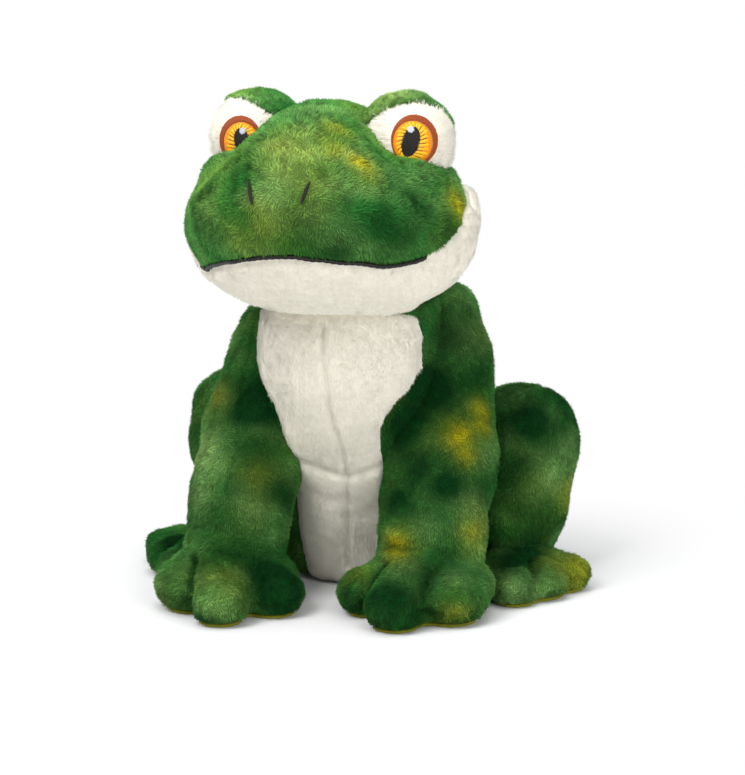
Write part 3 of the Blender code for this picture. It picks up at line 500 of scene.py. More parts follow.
def head_cage():
    """The head's rings from the nose backwards, each the round section blended with the pinched one."""
    behind, width, base, top, pinch = HEAD_RINGS.T
    half = ROUND + pinch[:, None, None] * (PINCHED - ROUND)
    section = np.concatenate([half, (half * (-1, 1))[:, -2:0:-1]], 1)
    grow = 3 / (2 + math.cos(math.pi / 6))
    x = section[..., 0] * (width * 0.05 * grow)[:, None]
    z = HEAD_BASE + 0.036 * (base + top)[:, None] + section[..., 1] * (0.036 * (top - base) * grow)[:, None]
    y = np.broadcast_to((-0.08 + TO_ROW + 0.098 * behind)[:, None], x.shape)
    return np.stack([x, y, z], -1)


def jaw_side(points):
    """Signed distance to the jaw's seam, below 0 in the jaw: mouth, cut end of the cheek and back edge.

    The mouth rises more steeply over the right cheek than over the left one."""
    x, y, z = points.T
    steeper = 1 + 0.75 * np.clip((-x - 0.020) / 0.015, 0, 1)
    mouth = z - np.interp(x, MOUTH_ACROSS, MOUTH_HEIGHT) - steeper * np.interp(y, CHEEK_BACK, CHEEK_RISE)
    end = 0.9 * (z - 0.1480 + 0.5 * (y + 0.008))
    back = y - np.interp(z, JAW_END_HEIGHT, JAW_END_BACK)
    return np.maximum(np.maximum(0.93 * mouth, end), back)


points, triangles = lofted(head_cage(), 190, 340)
points, crown, jaw, side = split(points, triangles, jaw_side(points))
everything = np.concatenate([crown, jaw])
normals = normals_of(points, everything)
height = 0.0005 * ripple(points, 0.026, 11) + 0.0002 * ripple(points, 0.010, 12) - INSET
height += 0.0009 * dent(side, 0.0012)
# the jaw is fuller than the crown, and most of all at the cheek's end
mirrored = np.abs(points * (1, 0, 0)) + points * (0, 1, 1)
plump = 0.0010 * np.clip((points[:, 2] - 0.108) / 0.010, 0, 1)
cheek_tip = 0.0042 * np.exp(-np.sum((mirrored - (0.045, -0.001, 0.144)) ** 2, 1) / 0.009**2)
height += np.where(side < 0, plump * (1 + dent(side, 0.003)) + cheek_tip * (1 + dent(side, 0.0014)), 0)
# a rim that holds the eyeball from below
under_eye = mm([(32.5, -27, 150), (37.5, -18, 149.5), (40.5, -6, 149.5)])
height += np.where(side > 0, -0.0056 * dent(distance_to(mirrored, under_eye), 0.0080), 0)
height = draw_in(height, points, (
    ([(-0.4, -46, 170.1), (9.1, -38.8, 170), (16, -22.5, 167.6)], 2.0, 0.6),
    ([(13, -67, 150.6), (18.7, -63.9, 150.4)], 1.6, 0.4),
    ([(6, -70.4, 140), (9, -70.4, 139.5)], 2.4, 0.7),
    ([(26, -38, 160), (31, -33, 156)], 2.0, 0.5),
))
points = points + normals * height[:, None]
points[:, 2] = np.maximum(points[:, 2], HEAD_BASE + 0.0002)
normals = normals_of(points, everything)
head_points, head_normals, head_side = points, normals, side
head_tree = BVHTree.FromPolygons(points.tolist(), everything.tolist())
head = padded_cover("head cover", points, crown, "head", ["head_skin", "head_fill"])
chin = padded_cover("jaw cover", points, jaw, "head", ["jaw_panel"], cream=True)
print("head:", len(crown), "and", len(jaw), "triangles")

# %% [markdown]
# ## Mouth and nostrils
#
# A black cord lies in the mouth seam. Two threads twisted together give it its small bumps, so its radius
# is r (1 + twist cos(2 a - 2 pi s / pitch)). The nostrils are rows of short satin stitches.


# %% Cord and stitches
def tube(path, radius, sides=10, twist=0.0, pitch=0.0022):
    """Points p_i + r_i (n cos a + b sin a) around a path, closed at both ends by a point."""
    ahead = unit(np.gradient(path, axis=0))
    beside = unit(np.cross(ahead, (0.03, 0.02, 1.0)))
    over = np.cross(beside, ahead)
    run = np.concatenate([[0], np.cumsum(np.linalg.norm(np.diff(path, axis=0), axis=1))])[:, None]
    a = 2 * math.pi * np.arange(sides) / sides
    size = radius * (1 + twist * np.cos(2 * a - 2 * math.pi * run / pitch))
    size[[0, -1]] = 0
    grid = path[:, None] + size[..., None] * (
        beside[:, None] * np.cos(a)[:, None] + over[:, None] * np.sin(a)[:, None]
    )
    return closed_surface(grid)


def stitches(starts, ends, width, lift, relief, place):
    """Half-round threads. At s along and o across: relief sqrt(1 - o^2) (1 - (2s - 1)^6) above lift."""
    s, o = np.linspace(0, 1, 9)[:, None], np.linspace(-1, 1, 7)[None, :]
    way = ends - starts
    beside = unit(np.stack([-way[:, 1], way[:, 0]], 1))
    taper = 1 - (2 * s - 1) ** 8
    flat = starts[:, None, None] + s[..., None] * way[:, None, None]
    flat = flat + (o * (0.35 + 0.65 * taper) * width / 2)[..., None] * beside[:, None, None]
    high = lift + relief * np.sqrt(np.maximum(1 - o**2, 0)) * (0.2 + 0.8 * taper) + 0 * s
    points = place(flat.reshape(-1, 2), np.broadcast_to(high, (len(starts), 9, 7)).ravel())
    index = np.arange(63).reshape(9, 7)
    a, b, c, d = index[:-1, :-1], index[:-1, 1:], index[1:, 1:], index[1:, :-1]
    return points, (cells(a, b, c, d) + 63 * np.arange(len(starts))[:, None, None]).reshape(-1, 3)


def facing(points, triangles, way):
    """The triangles, turned so that most of them face the given way."""
    a, b, c = (points[triangles[:, k]] for k in range(3))
    return triangles if np.sum(np.cross(b - a, c - a) @ np.array(way)) > 0 else triangles[:, ::-1]


seam = head_points[(head_side == 0) & (head_points[:, 1] < -0.031) & (head_points[:, 2] > 0.114)]
bearing = np.arctan2(seam[:, 0], -seam[:, 1] - 0.010)
order = np.argsort(bearing)
turns = np.linspace(-0.96, 0.95, 240)
path = np.stack([np.interp(turns, bearing[order], seam[order, k]) for k in range(3)], 1)
window = np.hanning(9) / np.hanning(9).sum()
path = np.stack([np.convolve(np.pad(path[:, k], 4, "edge"), window, "valid") for k in range(3)], 1)
outward = unit(path - np.array([0, -0.015, 0.124]))
cord = path + outward * 0.0015
cord_points, cord_triangles = tube(cord, 0.00068, 12, 0.12)
mouth = piece("mouth cord", cord_points, cord_triangles, BLACK, "head", "black_thread")
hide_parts("mouth_piping")


def on_muzzle(flat, high):
    """Places on the front of the head at the given X and Z, lifted towards the viewer."""
    found = [head_tree.ray_cast(Vector((x, -0.2, z)), Vector((0, 1, 0))) for x, z in flat.tolist()]
    spot = np.array([tuple(f[0]) for f in found])
    up = np.array([tuple(f[1]) for f in found])
    return spot + np.sign(-up[:, 1:2]) * up * high[:, None]


NOSTRILS = {"left": ((10.1, 152.5), (8.3, 146.6)), "right": ((-9.6, 151.8), (-8.2, 145.8))}
for word, (top, low) in NOSTRILS.items():
    rows = np.linspace(0, 1, 13)[:, None]
    middle = (np.array(top) + rows * (np.array(low) - top)) / 1000
    half_stitch = np.array([0.00062, 0.0002])
    reach = half_stitch * (1 - 0.5 * np.abs(2 * rows - 1) ** 3) * (np.sign(top[0]), 1)
    points, triangles = stitches(middle - reach, middle + reach, 0.00058, 0.0009, 0.0004, on_muzzle)
    triangles = facing(points, triangles, (0, -1, 0))
    made = piece(f"nostril {word}", points, triangles, BLACK, "head", "black_thread")
    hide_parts(f"nostril_stitch_{word}")
print("mouth cord:", len(cord_triangles), "triangles")

# %% [markdown]
# ## Eyes
#
# Each eye is a stuffed cream ball with a disc of embroidery on it and a green hood over its back. The disc is
# real thread: radial stitches in orange with gold petals over them, a rust rim that is thickest at the top
# outer side, slanted black stitches for the slit of the pupil and a few pale ones for the glint. All are
# laid on the ball along the line of sight.

# %% Eyes
EYE_RADIUS = 0.0157
LID = 0.0008  # thickness of the hood
LOOK = {1: (28, 10), -1: (7, 2)}  # how far each eye looks outwards and up, in degrees
LEAN = -18  # of the pupil, in degrees
# middle and half sizes of each oval, in mm, outwards and up from the disc's middle
RIM = ((0, 0), (7.6, 8.1))
IRIS = ((-0.8, -0.9), (6.5, 7.0))
PUPIL = ((-1.7, -0.7), (2.8, 4.8))
GLINT = ((-1.6, 3.2), (1.2, 1.0))
BARE_DISC = (0.0079, 0.0084)  # half sizes of the oval without pile


def cap(centre, axis, profile, columns):
    """A surface turned about an axis from its pole: c + r (axis cos a + across sin a) for each (r, a)."""
    axis = unit(np.array(axis, float))
    first = unit(np.cross(axis, (0.0, 0.0, 1.0) if abs(axis[2]) < 0.9 else (1.0, 0.0, 0.0)))
    second = np.cross(axis, first)
    t = 2 * math.pi * np.arange(columns)[None, :, None] / columns
    r, a = (profile[:, k][:, None, None] for k in (0, 1))
    grid = centre + r * (axis * np.cos(a) + (first * np.cos(t) + second * np.sin(t)) * np.sin(a))
    points = np.concatenate([grid[:1, 0], grid[1:].reshape(-1, 3)])
    return points, facing(points, closed_triangles(len(profile), columns), axis)


def oval(turns, shape, lean=0):
    """Places on an ellipse: c + R (a cos t, b sin t), with R a turn by lean degrees. Shapes are in mm."""
    centre, half = mm(shape)
    flat = half * np.stack([np.cos(turns), np.sin(turns)], 1)
    return centre + flat @ np.array(Matrix.Rotation(math.radians(lean), 2)).T


def make_eye(side, word):
    """A ball with its pile, the hood over it and the layers of thread on it. Returns the ball's centre."""
    centre = np.array([side * 0.0257, -0.021 + TO_ROW, 0.160])
    outward, upward = LOOK[side]
    turn = Matrix.Rotation(side * math.radians(outward), 3, "Z")
    turn = turn @ Matrix.Rotation(math.radians(90 - upward), 3, "X")
    right, up, sight = np.array(turn).T
    right = right * side

    def on_ball(flat, high):
        """The disc's x and y carried forward on to the ball, and lifted off it."""
        depth = np.sqrt(np.maximum(EYE_RADIUS**2 - (flat**2).sum(1), 0))
        way = unit(flat[:, :1] * right + flat[:, 1:] * up + depth[:, None] * sight)
        return centre + way * (EYE_RADIUS + high)[:, None]

    a = np.linspace(0, 2.75, 100)
    points, triangles = cap(centre, sight, np.stack([EYE_RADIUS + 0 * a, a], 1), 120)
    ball = padded_cover(f"eyeball {word}", points, triangles, "head", [f"eye_dome_{word}"], cream=True)

    # the hood is a cap of a little under half the ball, whose pole points up, back and inwards
    edge = math.acos(0.002 / (EYE_RADIUS + LID))
    crown_way = unit(np.array([-0.5 * side, math.sin(math.radians(48)), math.cos(math.radians(48))]))

    def off_disc(roots):
        """Whether roots are outside both the hood and the embroidered disc."""
        flat = (roots - centre) @ np.stack([right, up], 1) / BARE_DISC
        bare = (unit(roots - centre) @ crown_way) < math.cos(edge + 0.02)
        return bare & ((np.hypot(*flat.T) > 1) | ((roots - centre) @ sight < 0))

    def away_from_disc(roots):
        """Outwards over the ball from the disc's middle, and a little up."""
        return (roots - centre) - ((roots - centre) @ sight)[:, None] * sight + (0, 0, 0.004)

    pile(
        ball, points, triangles, normals_of(points, triangles), 17400, 0.0021, away_from_disc, 60 + side,
        keep=off_disc, cream=True,
    )
    hem = LID / 2 - 0.0001
    a = np.linspace(0, edge, 60)
    roll = np.linspace(0, math.pi, 13)[1:]
    hem_radius = EYE_RADIUS + 0.0001 + hem + hem * np.cos(roll)
    profile = np.concatenate([
        np.stack([EYE_RADIUS + LID + 0 * a, a], 1),
        np.stack([hem_radius, edge + hem * np.sin(roll) / EYE_RADIUS], 1),
    ])
    points, triangles = cap(centre, crown_way, profile, 120)
    lift = 0.0003 * ripple(points, 0.012, 70 + side)
    points = points + unit(points - centre) * lift[:, None]
    hood = padded_cover(f"hood {word}", points, triangles, "head", [f"eyelid_{word}"])
    down_back = (0.3 * side, 0.5, -0.4)
    pile(hood, points, triangles, normals_of(points, triangles), 12000, 0.0012, down_back, 80 + side)
    chance = np.random.default_rng(90 + side)

    def radial(count, near, far, uneven, inside=PUPIL, outside=IRIS, offset=0.0):
        """Threads from the inner to the outer oval, from the share near to the share far of the way."""
        turns = 2 * math.pi * (np.arange(count) + offset + 0.25 * chance.random(count)) / count
        starts, ends = oval(turns, inside, LEAN if inside is PUPIL else 0), oval(turns, outside)
        first = near + uneven * chance.uniform(-0.3, 0.3, count)
        last = far + uneven * chance.uniform(-1, 1, count)
        return starts + first[:, None] * (ends - starts), starts + last[:, None] * (ends - starts)

    def across(shape, count, lean, uneven):
        """Threads side by side that fill an oval."""
        rows = np.linspace(-0.97, 0.97, count)
        half = np.sqrt(1 - rows**2) * (1 + uneven * chance.uniform(-1, 1, count))
        place, size = mm(shape)
        turned = np.array(Matrix.Rotation(math.radians(lean), 2)).T
        return [place + (np.stack([sign * half, rows], 1) * size) @ turned for sign in (-1, 1)]

    layers = (
        ("iris", ORANGE, "orange_thread", radial(120, 0.0, 1.0, 0.0), 0.46, 0.26, "iris"),
        ("iris gaps", RUST, "rust_thread", radial(26, 0.0, 0.55, 0.10), 0.42, 0.34, ""),
        ("iris petals", GOLD, "orange_thread", radial(26, 0.0, 0.74, 0.10, offset=0.5), 1.05, 0.38, ""),
        ("eye rim", RUST, "rust_thread", radial(130, 0.0, 1.0, 0.05, IRIS, RIM), 0.46, 0.42, "eye_rim"),
        ("pupil", BLACK, "black_thread", across(PUPIL, 27, LEAN, 0.06), 0.50, 0.50, "pupil"),
        ("glint", WHITE, "white_thread", across(GLINT, 7, 10, 0.1), 0.40, 0.68, "eye_glint"),
    )
    for label, finish, slot, (starts, ends), width, lift, node in layers:
        points, triangles = stitches(starts, ends, width / 1000, lift / 1000, 0.0002, on_ball)
        made = piece(f"{label} {word}", points, facing(points, triangles, sight), finish, "head", slot)
        if node:
            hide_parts(f"{node}_{word}")
    return centre


eye_centres = [make_eye(1, "left"), make_eye(-1, "right")]

# %% [markdown]
# ## Pile of the head
#
# On the head the pile lies backwards and down, away from the nose. None grows where the cord, the nostril
# stitches or the eyeballs are.


# %% Head pile
def clear_of_face(roots):
    """Whether roots are clear of the cord, the nostrils, the eyeballs and the neck."""
    clear = distance_to(roots + (0, 0, 0.0003), cord[::6]) > 0.0019
    for top, low in NOSTRILS.values():
        line = mm([(top[0], 0, top[1]), (low[0], 0, low[1])])
        clear &= (distance_to(roots * (1, 0, 1) - (0, 0, 0.0004), line) > 0.0010) | (roots[:, 1] > -0.05)
    for centre in eye_centres:
        clear &= np.linalg.norm(roots - centre, axis=1) > EYE_RADIUS - 0.0005
    return clear & (roots[:, 2] > 0.1045)


pile(head, head_points, crown, head_normals, 66000, 0.0014, (0, 0.6, -0.45), 100, clear_of_face)
pile(chin, head_points, jaw, head_normals, 34000, 0.0012, (0, 0.35, -0.8), 140, clear_of_face, cream=True)

# %% [markdown]
# ## Body
#
# The body is a barrel that leans forward. A cream panel runs down its front, wide as a bib at the top and
# narrow at the belly, with a seam down its middle and a fold across where the toy sits.

# %% Body
TORSO_RINGS = np.array([
    (0, 0.36, 0.88, 0.70), (0.05, 0.31, 0.95, 0.86), (0.17, 0.30, 1.00, 1.01), (0.38, 0.24, 0.98, 1.02),
    (0.58, 0.10, 0.90, 0.88), (0.77, -0.02, 0.80, 0.81), (0.93, -0.03, 0.73, 0.82), (1.08, 0.05, 0.66, 0.76),
])  # height, front, back and width, as shares
PANEL_HEIGHT = mm([8, 30, 52, 61, 68, 75, 83, 94, 101, 110])
PANEL_HALF = mm([15, 17.5, 17.5, 18.5, 21.8, 28, 31.6, 31.8, 30, 26])
TORSO_TOP = 0.1038


def torso_cage():
    """The body's rings from the seat up."""
    height, front, back, width = TORSO_RINGS.T
    near, far = -0.033 + 0.094 * front, -0.033 + 0.094 * back
    centres = np.stack([0 * height, (near + far) / 2 + TO_ROW, 0.1037 * height - 0.0005], 1)
    across, deep = np.array([1.0, 0, 0]), np.array([0, 1.0, 0])
    return ovals(centres, across, deep, width * 0.079 / 2, (far - near) / 2)


def panel_side(points):
    """Signed distance to the bib's seam, below 0 in the bib, which doesn't turn over on to the flat top."""
    x, y, z = points.T
    beside = np.abs(x + 0.0018) - np.interp(z, PANEL_HEIGHT, PANEL_HALF)
    return np.maximum(0.9 * beside, y - 0.020 + 3.6 * np.clip(z - 0.094, 0, 0.010))


points, triangles = lofted(torso_cage(), 160, 270)
points, back, bib, side = split(points, triangles, panel_side(points))
everything = np.concatenate([back, bib])
normals = normals_of(points, everything)
height = 0.0006 * ripple(points, 0.028, 21) - 0.7 * INSET + 0.0007 * dent(side, 0.0014)
front_seam = [
    (0, -25, 104), (1, -25, 84), (1.3, -18, 66), (2, -12, 56), (2.2, -6, 45), (1, 1, 30), (0, 5, 8),
]
height = draw_in(height, points, (
    (front_seam, 1.1, 1.2),
    ([(-17, -4, 48.5), (-7, -5, 44.8), (2, -5, 42.3), (9.4, -5, 44.4), (16, -3.5, 47.8)], 1.8, 1.0),
    ([(-15, 0, 36), (-6, -1, 33.5), (2, 0, 34)], 2.6, 0.5),
    ([(1, 2, 27), (8, 2, 29), (13, 3, 30)], 2.6, 0.4),
    ([(0, 62, 100), (0, 66, 60), (0, 70, 10)], 1.4, 0.8),
))
points = points + normals * height[:, None]
points[:, 2] = np.clip(points[:, 2], 0.0006, TORSO_TOP)
normals = normals_of(points, everything)
torso_nodes = ["torso_skin", "torso_fill", "pellet_pouch"]
torso = padded_cover("body cover", points, back, "torso", torso_nodes)
chest = padded_cover("chest cover", points, bib, "torso", ["chest_panel"], cream=True)


def between_head_and_seat(roots):
    """Whether roots are off the ground, and not on the part of the flat top that the head covers."""
    x, y, z = roots.T
    return (z > 0.0012) & ((z < TORSO_TOP - 0.0006) | (y > 0.020) | (np.abs(x) > 0.027))


down = (0, 0.1, -1)
pile(torso, points, back, normals, 48000, 0.0014, down, 180, keep=between_head_and_seat)
pile(chest, points, bib, normals, 32000, 0.0012, down, 220, keep=between_head_and_seat, cream=True)
body_tree = BVHTree.FromPolygons(points.tolist(), everything.tolist())

# ladder stitches that close the back after stuffing
steps = np.linspace(0, 1, 90)
spots_on_back = [
    body_tree.ray_cast(Vector((0.0011 * math.sin(62 * s), 0.3, 0.045 + 0.035 * s)), Vector((0, -1, 0)))[0]
    for s in steps.tolist()
]
points, triangles = tube(np.array([tuple(p) for p in spots_on_back]) + (0, 0.0012, 0), 0.0004, 8)
made = piece("closing stitches", points, triangles, THREAD, "torso", "green_plush")
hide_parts("closing_thread")
print("body:", len(back), "and", len(bib), "triangles")

# %% [markdown]
# ## Arms and legs
#
# Each limb is a stuffed tube with a seam down it. The hands and feet are flat bags with three fat toes:
# from the palm's middle, the skin lies as far out in each direction as the palm or a toe reaches,
# and a soft maximum of those reaches leaves a rounded valley between the toes.

# %% Limbs
ARM_RINGS = np.array([
    (0.74, -0.265, 0.32, 0.42), (0.80, -0.21, 0.54, 0.66), (0.90, -0.09, 0.72, 0.84),
    (0.96, 0.12, 0.88, 0.92), (1.01, 0.36, 1.00, 1.00), (1.01, 0.62, 1.04, 1.02),
    (1.00, 0.86, 1.00, 0.94), (1.00, 1.12, 0.97, 0.88),
])  # sideways place, place along, width and depth
ARM_CREASES = {
    1: ([(52, 18, 88), (54, 6, 66), (55, -4, 44), (53, -12, 28)], 1.3, 0.7),
    -1: (ARM_SEAM, 1.3, 0.9),
}
LEG_RINGS = np.array([
    (0, 0.92, 0.58, 0.66), (0.08, 0.93, 0.76, 0.88), (0.34, 0.97, 0.94, 1.03), (0.64, 1.02, 1.05, 1.02),
    (0.87, 1.03, 0.93, 0.82), (0.98, 1.00, 0.50, 0.46),
])  # height, sideways place, width and depth
REACH = {1: -0.003, -1: 0.007}  # how much further forward each hand is set down
HAND_VALLEYS = {
    1: np.array([[(25, -20), (20.5, -25), (15, -37)], [(37, -19), (38.8, -31), (40.5, -48)]]),
    -1: np.array([[(-23.5, -29), (-20.4, -36), (-14.5, -48)], [(-43, -29), (-41, -40), (-38.5, -60)]]),
}  # in mm, seen from above


def limb(kind, word, rings, creases, seed, count, floor, keep):
    """One stuffed tube above the floor, drawn in along its creases."""
    points, triangles = lofted(rings, 120, 160)
    points, triangles, _, _ = split(points, triangles, points[:, 2] - floor)
    normals = normals_of(points, triangles)
    height = 0.0008 * ripple(points, 0.024, seed) + 0.0003 * ripple(points, 0.011, seed + 1) - INSET
    points = points + normals * draw_in(height, points, creases)[:, None]
    points[:, 2] = np.maximum(points[:, 2], 0.0006)
    nodes = [f"{kind}_skin_{word}", f"{kind}_fill_{word}"]
    cover = padded_cover(f"{kind} cover {word}", points, triangles, f"{kind}_{word}", nodes)
    normals = normals_of(points, triangles)
    pile(cover, points, triangles, normals, count, 0.0014, (0, -0.25, -1), seed, keep)


def toe_reach(ways, along, radius, tall):
    """How far a ray from the palm's middle stays in a toe: r / sin a beside its axis.

    Beyond its shaft it is the far side of the ball at its tip, l cos a + sqrt(r^2 - l^2 sin^2 a)."""
    squeeze = np.array([1, 1, radius / tall])
    scaled, axis = ways * squeeze, along * squeeze
    size, length = np.linalg.norm(scaled, axis=1), np.linalg.norm(axis)
    cos = scaled @ axis / (size * length)
    sin = np.sqrt(np.maximum(1 - cos**2, 1e-9))
    ball = length * cos + np.sqrt(np.maximum(radius**2 - (length * sin) ** 2, 0))
    shaft = radius / np.where(cos > 0, sin, 1)
    return np.where((cos > 0) & (sin * length < radius * cos), ball, shaft) / size


def paw(kind, word, body, centre, half, web, tips, valleys, radius, tall, toe_height, seed, count):
    """A palm and its toes as one star-shaped skin, flat below, on a pad of the same outline.

    The web is a second, wider oval that fills the gaps, and a drawn-in seam runs down each valley."""
    rows, columns = 110, 240
    a = np.linspace(0, math.pi, rows)[:, None]
    t = 2 * math.pi * np.arange(columns)[None, :] / columns
    ways = np.stack([np.sin(a) * np.cos(t), np.sin(a) * np.sin(t), np.cos(a) + 0 * t], -1).reshape(-1, 3)
    reaches = [1 / np.linalg.norm(ways / palm, axis=1) for palm in (half, web)]
    for tip in tips:
        along = np.array([*(tip - centre[:2]), 0])
        along = along * (1 - radius / np.linalg.norm(along)) + (0, 0, toe_height - centre[2])
        reaches.append(toe_reach(ways, along, radius, tall))
    reach = (np.array(reaches) ** 9).sum(0) ** (1 / 9) * 0.97
    grid = centre + (ways * reach[:, None]).reshape(rows, columns, 3)
    grid[..., 2] = 0.0009 + 0.5 * (grid[..., 2] - 0.0009 + np.sqrt((grid[..., 2] - 0.0009) ** 2 + 0.0012**2))
    points, triangles = closed_surface(grid)
    normals = normals_of(points, triangles)
    height = 0.0004 * ripple(points, 0.013, seed) - 0.5 * INSET
    for line in valleys:
        height += 0.0030 * dent(distance_to(points[:, :2], line / 1000), 0.0024)
    points = points + normals * (height * np.clip((points[:, 2] - 0.002) / 0.002, 0, 1))[:, None]
    normals = normals_of(points, triangles)
    name = f"{kind} cover {word}"
    cover = padded_cover(name, points, triangles, body, [f"{kind}_skin_{word}", f"{kind}_fill_{word}"])

    def from_palm(roots):
        """Outwards from the palm's middle and down."""
        return unit((roots - centre) * (1, 1, 0)) + (0, -0.4, -0.9)

    pile(cover, points, triangles, normals, count, 0.0014, from_palm, seed, lambda roots: roots[:, 2] > 0.002)
    ring = np.abs(grid[..., 2] - 0.0016).argmin(0)
    edge = grid[ring, np.arange(columns)] * (1, 1, 0)
    middle = edge.mean(0)
    share = np.array([0, 0.55, 0.96, 0.985, 0.97, 0.55, 0])[:, None]
    pad = middle + share[..., None] * (edge - middle)
    pad[..., 2] = np.array([0, 0, 0, 0.0005, 0.0011, 0.0011, 0.0011])[:, None]
    sole = piece(f"{name} pad", *closed_surface(pad), OLIVE, body, "olive_plush")
    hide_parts(f"{kind}_sole_{word}")


def make_arm(side, word):
    """An arm that leans forward to its hand."""
    reach = REACH[side]
    top, foot = np.array([0, 0.015 + TO_ROW, 0.088]), np.array([0, -0.024 - reach + TO_ROW, 0.015])
    sideways, place, width, depth = ARM_RINGS.T
    centres = top + place[:, None] * (foot - top)
    centres = centres + np.stack([side * sideways * 0.0335, 0 * place, 0 * place], 1)
    across = np.array([1.0, 0, 0])
    along = unit(np.cross(foot - top, across))
    rings = ovals(centres, across, along, width * 0.037 / 2, depth * 0.033 / 2)

    def outside(roots):
        """Whether roots are above the hand and clear of the body."""
        return (roots[:, 2] > 0.014) & (np.abs(roots[:, 0]) > 0.012)

    creases = (ARM_CREASES[side], (WRISTS[side], 2.0, 2.0))
    limb("arm", word, rings, creases, 240 + side, 42000, 0.012, outside)
    centre = np.array([side * 0.0335, -0.0255 - reach + TO_ROW, 0.0095])
    toes = ((0.005, -0.037), (0.027, -0.059), (0.0545, -0.041))
    tips = np.array([(side * x, y - reach + TO_ROW) for x, y in toes])
    half, web = np.array([0.0196, 0.0190, 0.0142]), np.array([0.0230, 0.0258, 0.0112])
    paw(
        "hand", word, f"arm_{word}", centre, half, web, tips, HAND_VALLEYS[side], 0.0102, 0.0088, 0.0072,
        260 + side, 24000,
    )


def make_leg(side, word):
    """A folded thigh, and the foot beside it."""
    height, sideways, width, depth = LEG_RINGS.T
    centres = np.stack([side * sideways * 0.0525, 0 * height + 0.038 + TO_ROW, 0.07 * height - 0.0005], 1)
    across, deep = np.array([1.0, 0, 0]), np.array([0, 1.0, 0])
    rings = ovals(centres, across, deep, width * 0.037 / 2, depth * 0.048 / 2)
    top_fold = [(side * 56, 62, 68), (side * 60.4, 43, 68), (side * 63, 34, 63), (side * 64, 31, 57)]
    low_fold = [(side * 50, 22, 36), (side * 57, 23.7, 35), (side * 65, 28.7, 33), (side * 70, 38, 30.5)]

    def outside(roots):
        """Whether roots are off the ground and clear of the body."""
        return (roots[:, 2] > 0.0014) & (np.abs(roots[:, 0]) > 0.037)

    creases = ((top_fold, 1.4, 0.8), (low_fold, 2.6, 1.3))
    limb("leg", word, rings, creases, 280 + side, 34000, -0.01, outside)
    step = 0.0 if side > 0 else 0.006
    centre = np.array([side * 0.0585, 0.014 - step + TO_ROW, 0.0060])
    toes = ((0.061, -0.013), (0.0735, 0.002), (0.0815, 0.022))
    tips = np.array([(side * x, y - step + TO_ROW) for x, y in toes])
    ways = unit(tips - centre[:2])
    valleys = [1000 * (centre[:2] + np.outer((0.007, 0.040), way)) for way in unit(ways[:-1] + ways[1:])]
    half, web = np.array([0.0165, 0.02, 0.0090]), np.array([0.0185, 0.0215, 0.0080])
    paw(
        "foot", word, f"leg_{word}", centre, half, web, tips, valleys, 0.0083, 0.0070, 0.0056,
        300 + side, 16000,
    )


for side_sign, word in ((1, "left"), (-1, "right")):
    make_arm(side_sign, word)
    make_leg(side_sign, word)

# %% [markdown]
# ## Floor, light and camera
#
# The toy stands on a pale table that fades to pure white, under three large soft lamps: a key to the left,
# one overhead and a side fill to the right. A white surround fills the shadows.

# %% Studio
bpy.ops.mesh.primitive_circle_add(vertices=96, radius=0.9, fill_type="NGON", location=(0, 0, 0))
floor = bpy.context.object
floor.name = "table"
table = bpy.data.materials.new("white table")
table.use_nodes = True
tree = table.node_tree
tree.nodes.clear()
position = add(tree, "ShaderNodeTexCoord").outputs["Object"]
far = add(tree, "ShaderNodeVectorMath", {0: position}, operation="LENGTH").outputs["Value"]
fade = add(tree, "ShaderNodeMapRange", {0: far, 1: 0.09, 2: 0.22}, interpolation_type="SMOOTHSTEP").outputs[0]
rays = add(tree, "ShaderNodeLightPath").outputs
seen = add(tree, "ShaderNodeMath", {0: rays["Is Camera Ray"], 1: fade}, operation="MULTIPLY").outputs[0]
cloth = add(tree, "ShaderNodeBsdfDiffuse", {"Color": (0.79, 0.79, 0.80, 1)}).outputs[0]
glow = add(tree, "ShaderNodeEmission", {"Color": (1, 1, 1, 1), "Strength": 1.0}).outputs[0]
mixed = add(tree, "ShaderNodeMixShader", {0: seen, 1: cloth, 2: glow}).outputs[0]
add(tree, "ShaderNodeOutputMaterial", {0: mixed})
floor.data.materials.append(table)

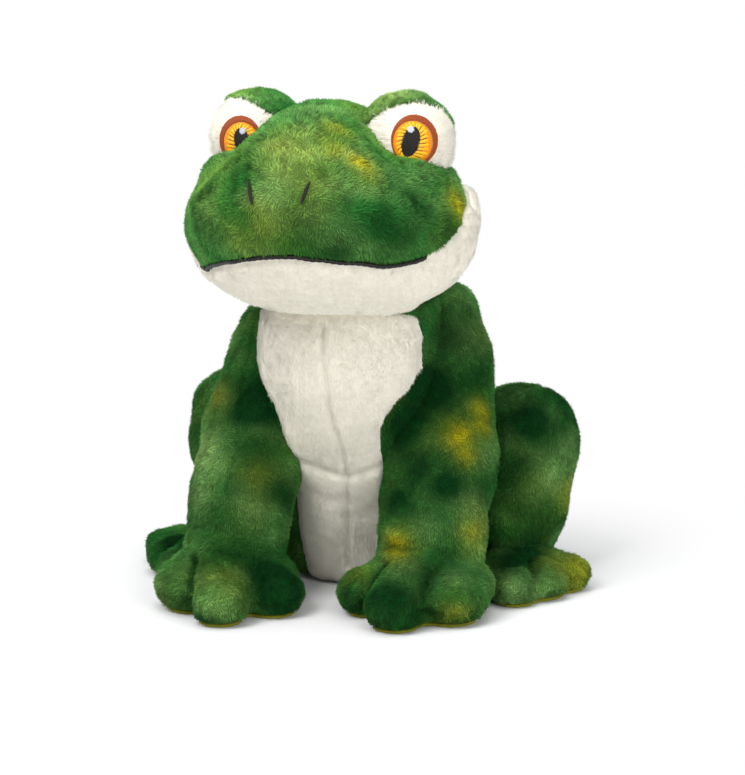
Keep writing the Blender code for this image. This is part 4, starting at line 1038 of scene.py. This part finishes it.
world = bpy.data.worlds.new("white surround")
bpy.context.scene.world = world
world.use_nodes = True
tree = world.node_tree
tree.nodes.clear()
rays = add(tree, "ShaderNodeLightPath").outputs
direct = rays["Is Camera Ray"]
for ray in ("Is Glossy Ray", "Is Transmission Ray"):
    direct = add(tree, "ShaderNodeMath", {0: direct, 1: rays[ray]}, operation="MAXIMUM").outputs[0]
fill = add(tree, "ShaderNodeBackground", {0: (1, 1, 1, 1), 1: 0.46}).outputs[0]
white = add(tree, "ShaderNodeBackground", {0: (1, 1, 1, 1), 1: 1.0}).outputs[0]
mixed = add(tree, "ShaderNodeMixShader", {0: direct, 1: fill, 2: white}).outputs[0]
add(tree, "ShaderNodeOutputWorld", {0: mixed})

TARGET = Vector((0.0, -0.03803, 0.090))


def lamp(name, place, size, power):
    """A soft square lamp that looks at the toy."""
    data = bpy.data.lights.new(name, "AREA")
    data.size = size
    data.energy = power
    made = bpy.data.objects.new(name, data)
    bpy.context.scene.collection.objects.link(made)
    made.location = place
    made.rotation_euler = (TARGET - made.location).to_track_quat("-Z", "Y").to_euler()


lamp("key", (-0.5, -1.0, 1.3), 0.8, 20.0)
lamp("overhead", (0.1, -0.1, 1.6), 1.2, 13.0)
lamp("side fill", (1.2, -1.0, 0.7), 1.0, 11.0)

azimuth, elevation = math.radians(18), math.radians(11)
back_way = Vector((
    math.sin(azimuth) * math.cos(elevation), -math.cos(azimuth) * math.cos(elevation), math.sin(elevation)
))
right_way = Vector((math.cos(azimuth), math.sin(azimuth), 0))
up_way = back_way.cross(right_way)
camera = bpy.data.objects.new("camera", bpy.data.cameras.new("camera"))
bpy.context.scene.collection.objects.link(camera)
camera.data.lens = 126.7
camera.data.sensor_width = 36
camera.location = TARGET + 0.9 * back_way
FOCAL = 2727  # focal length in pixels
aim = (-back_way + right_way * (63.5 / FOCAL) - up_way * (27.5 / FOCAL)).normalized()
camera.rotation_euler = aim.to_track_quat("-Z", "Y").to_euler()
bpy.context.scene.camera = camera
bpy.context.scene.view_settings.view_transform = "Standard"
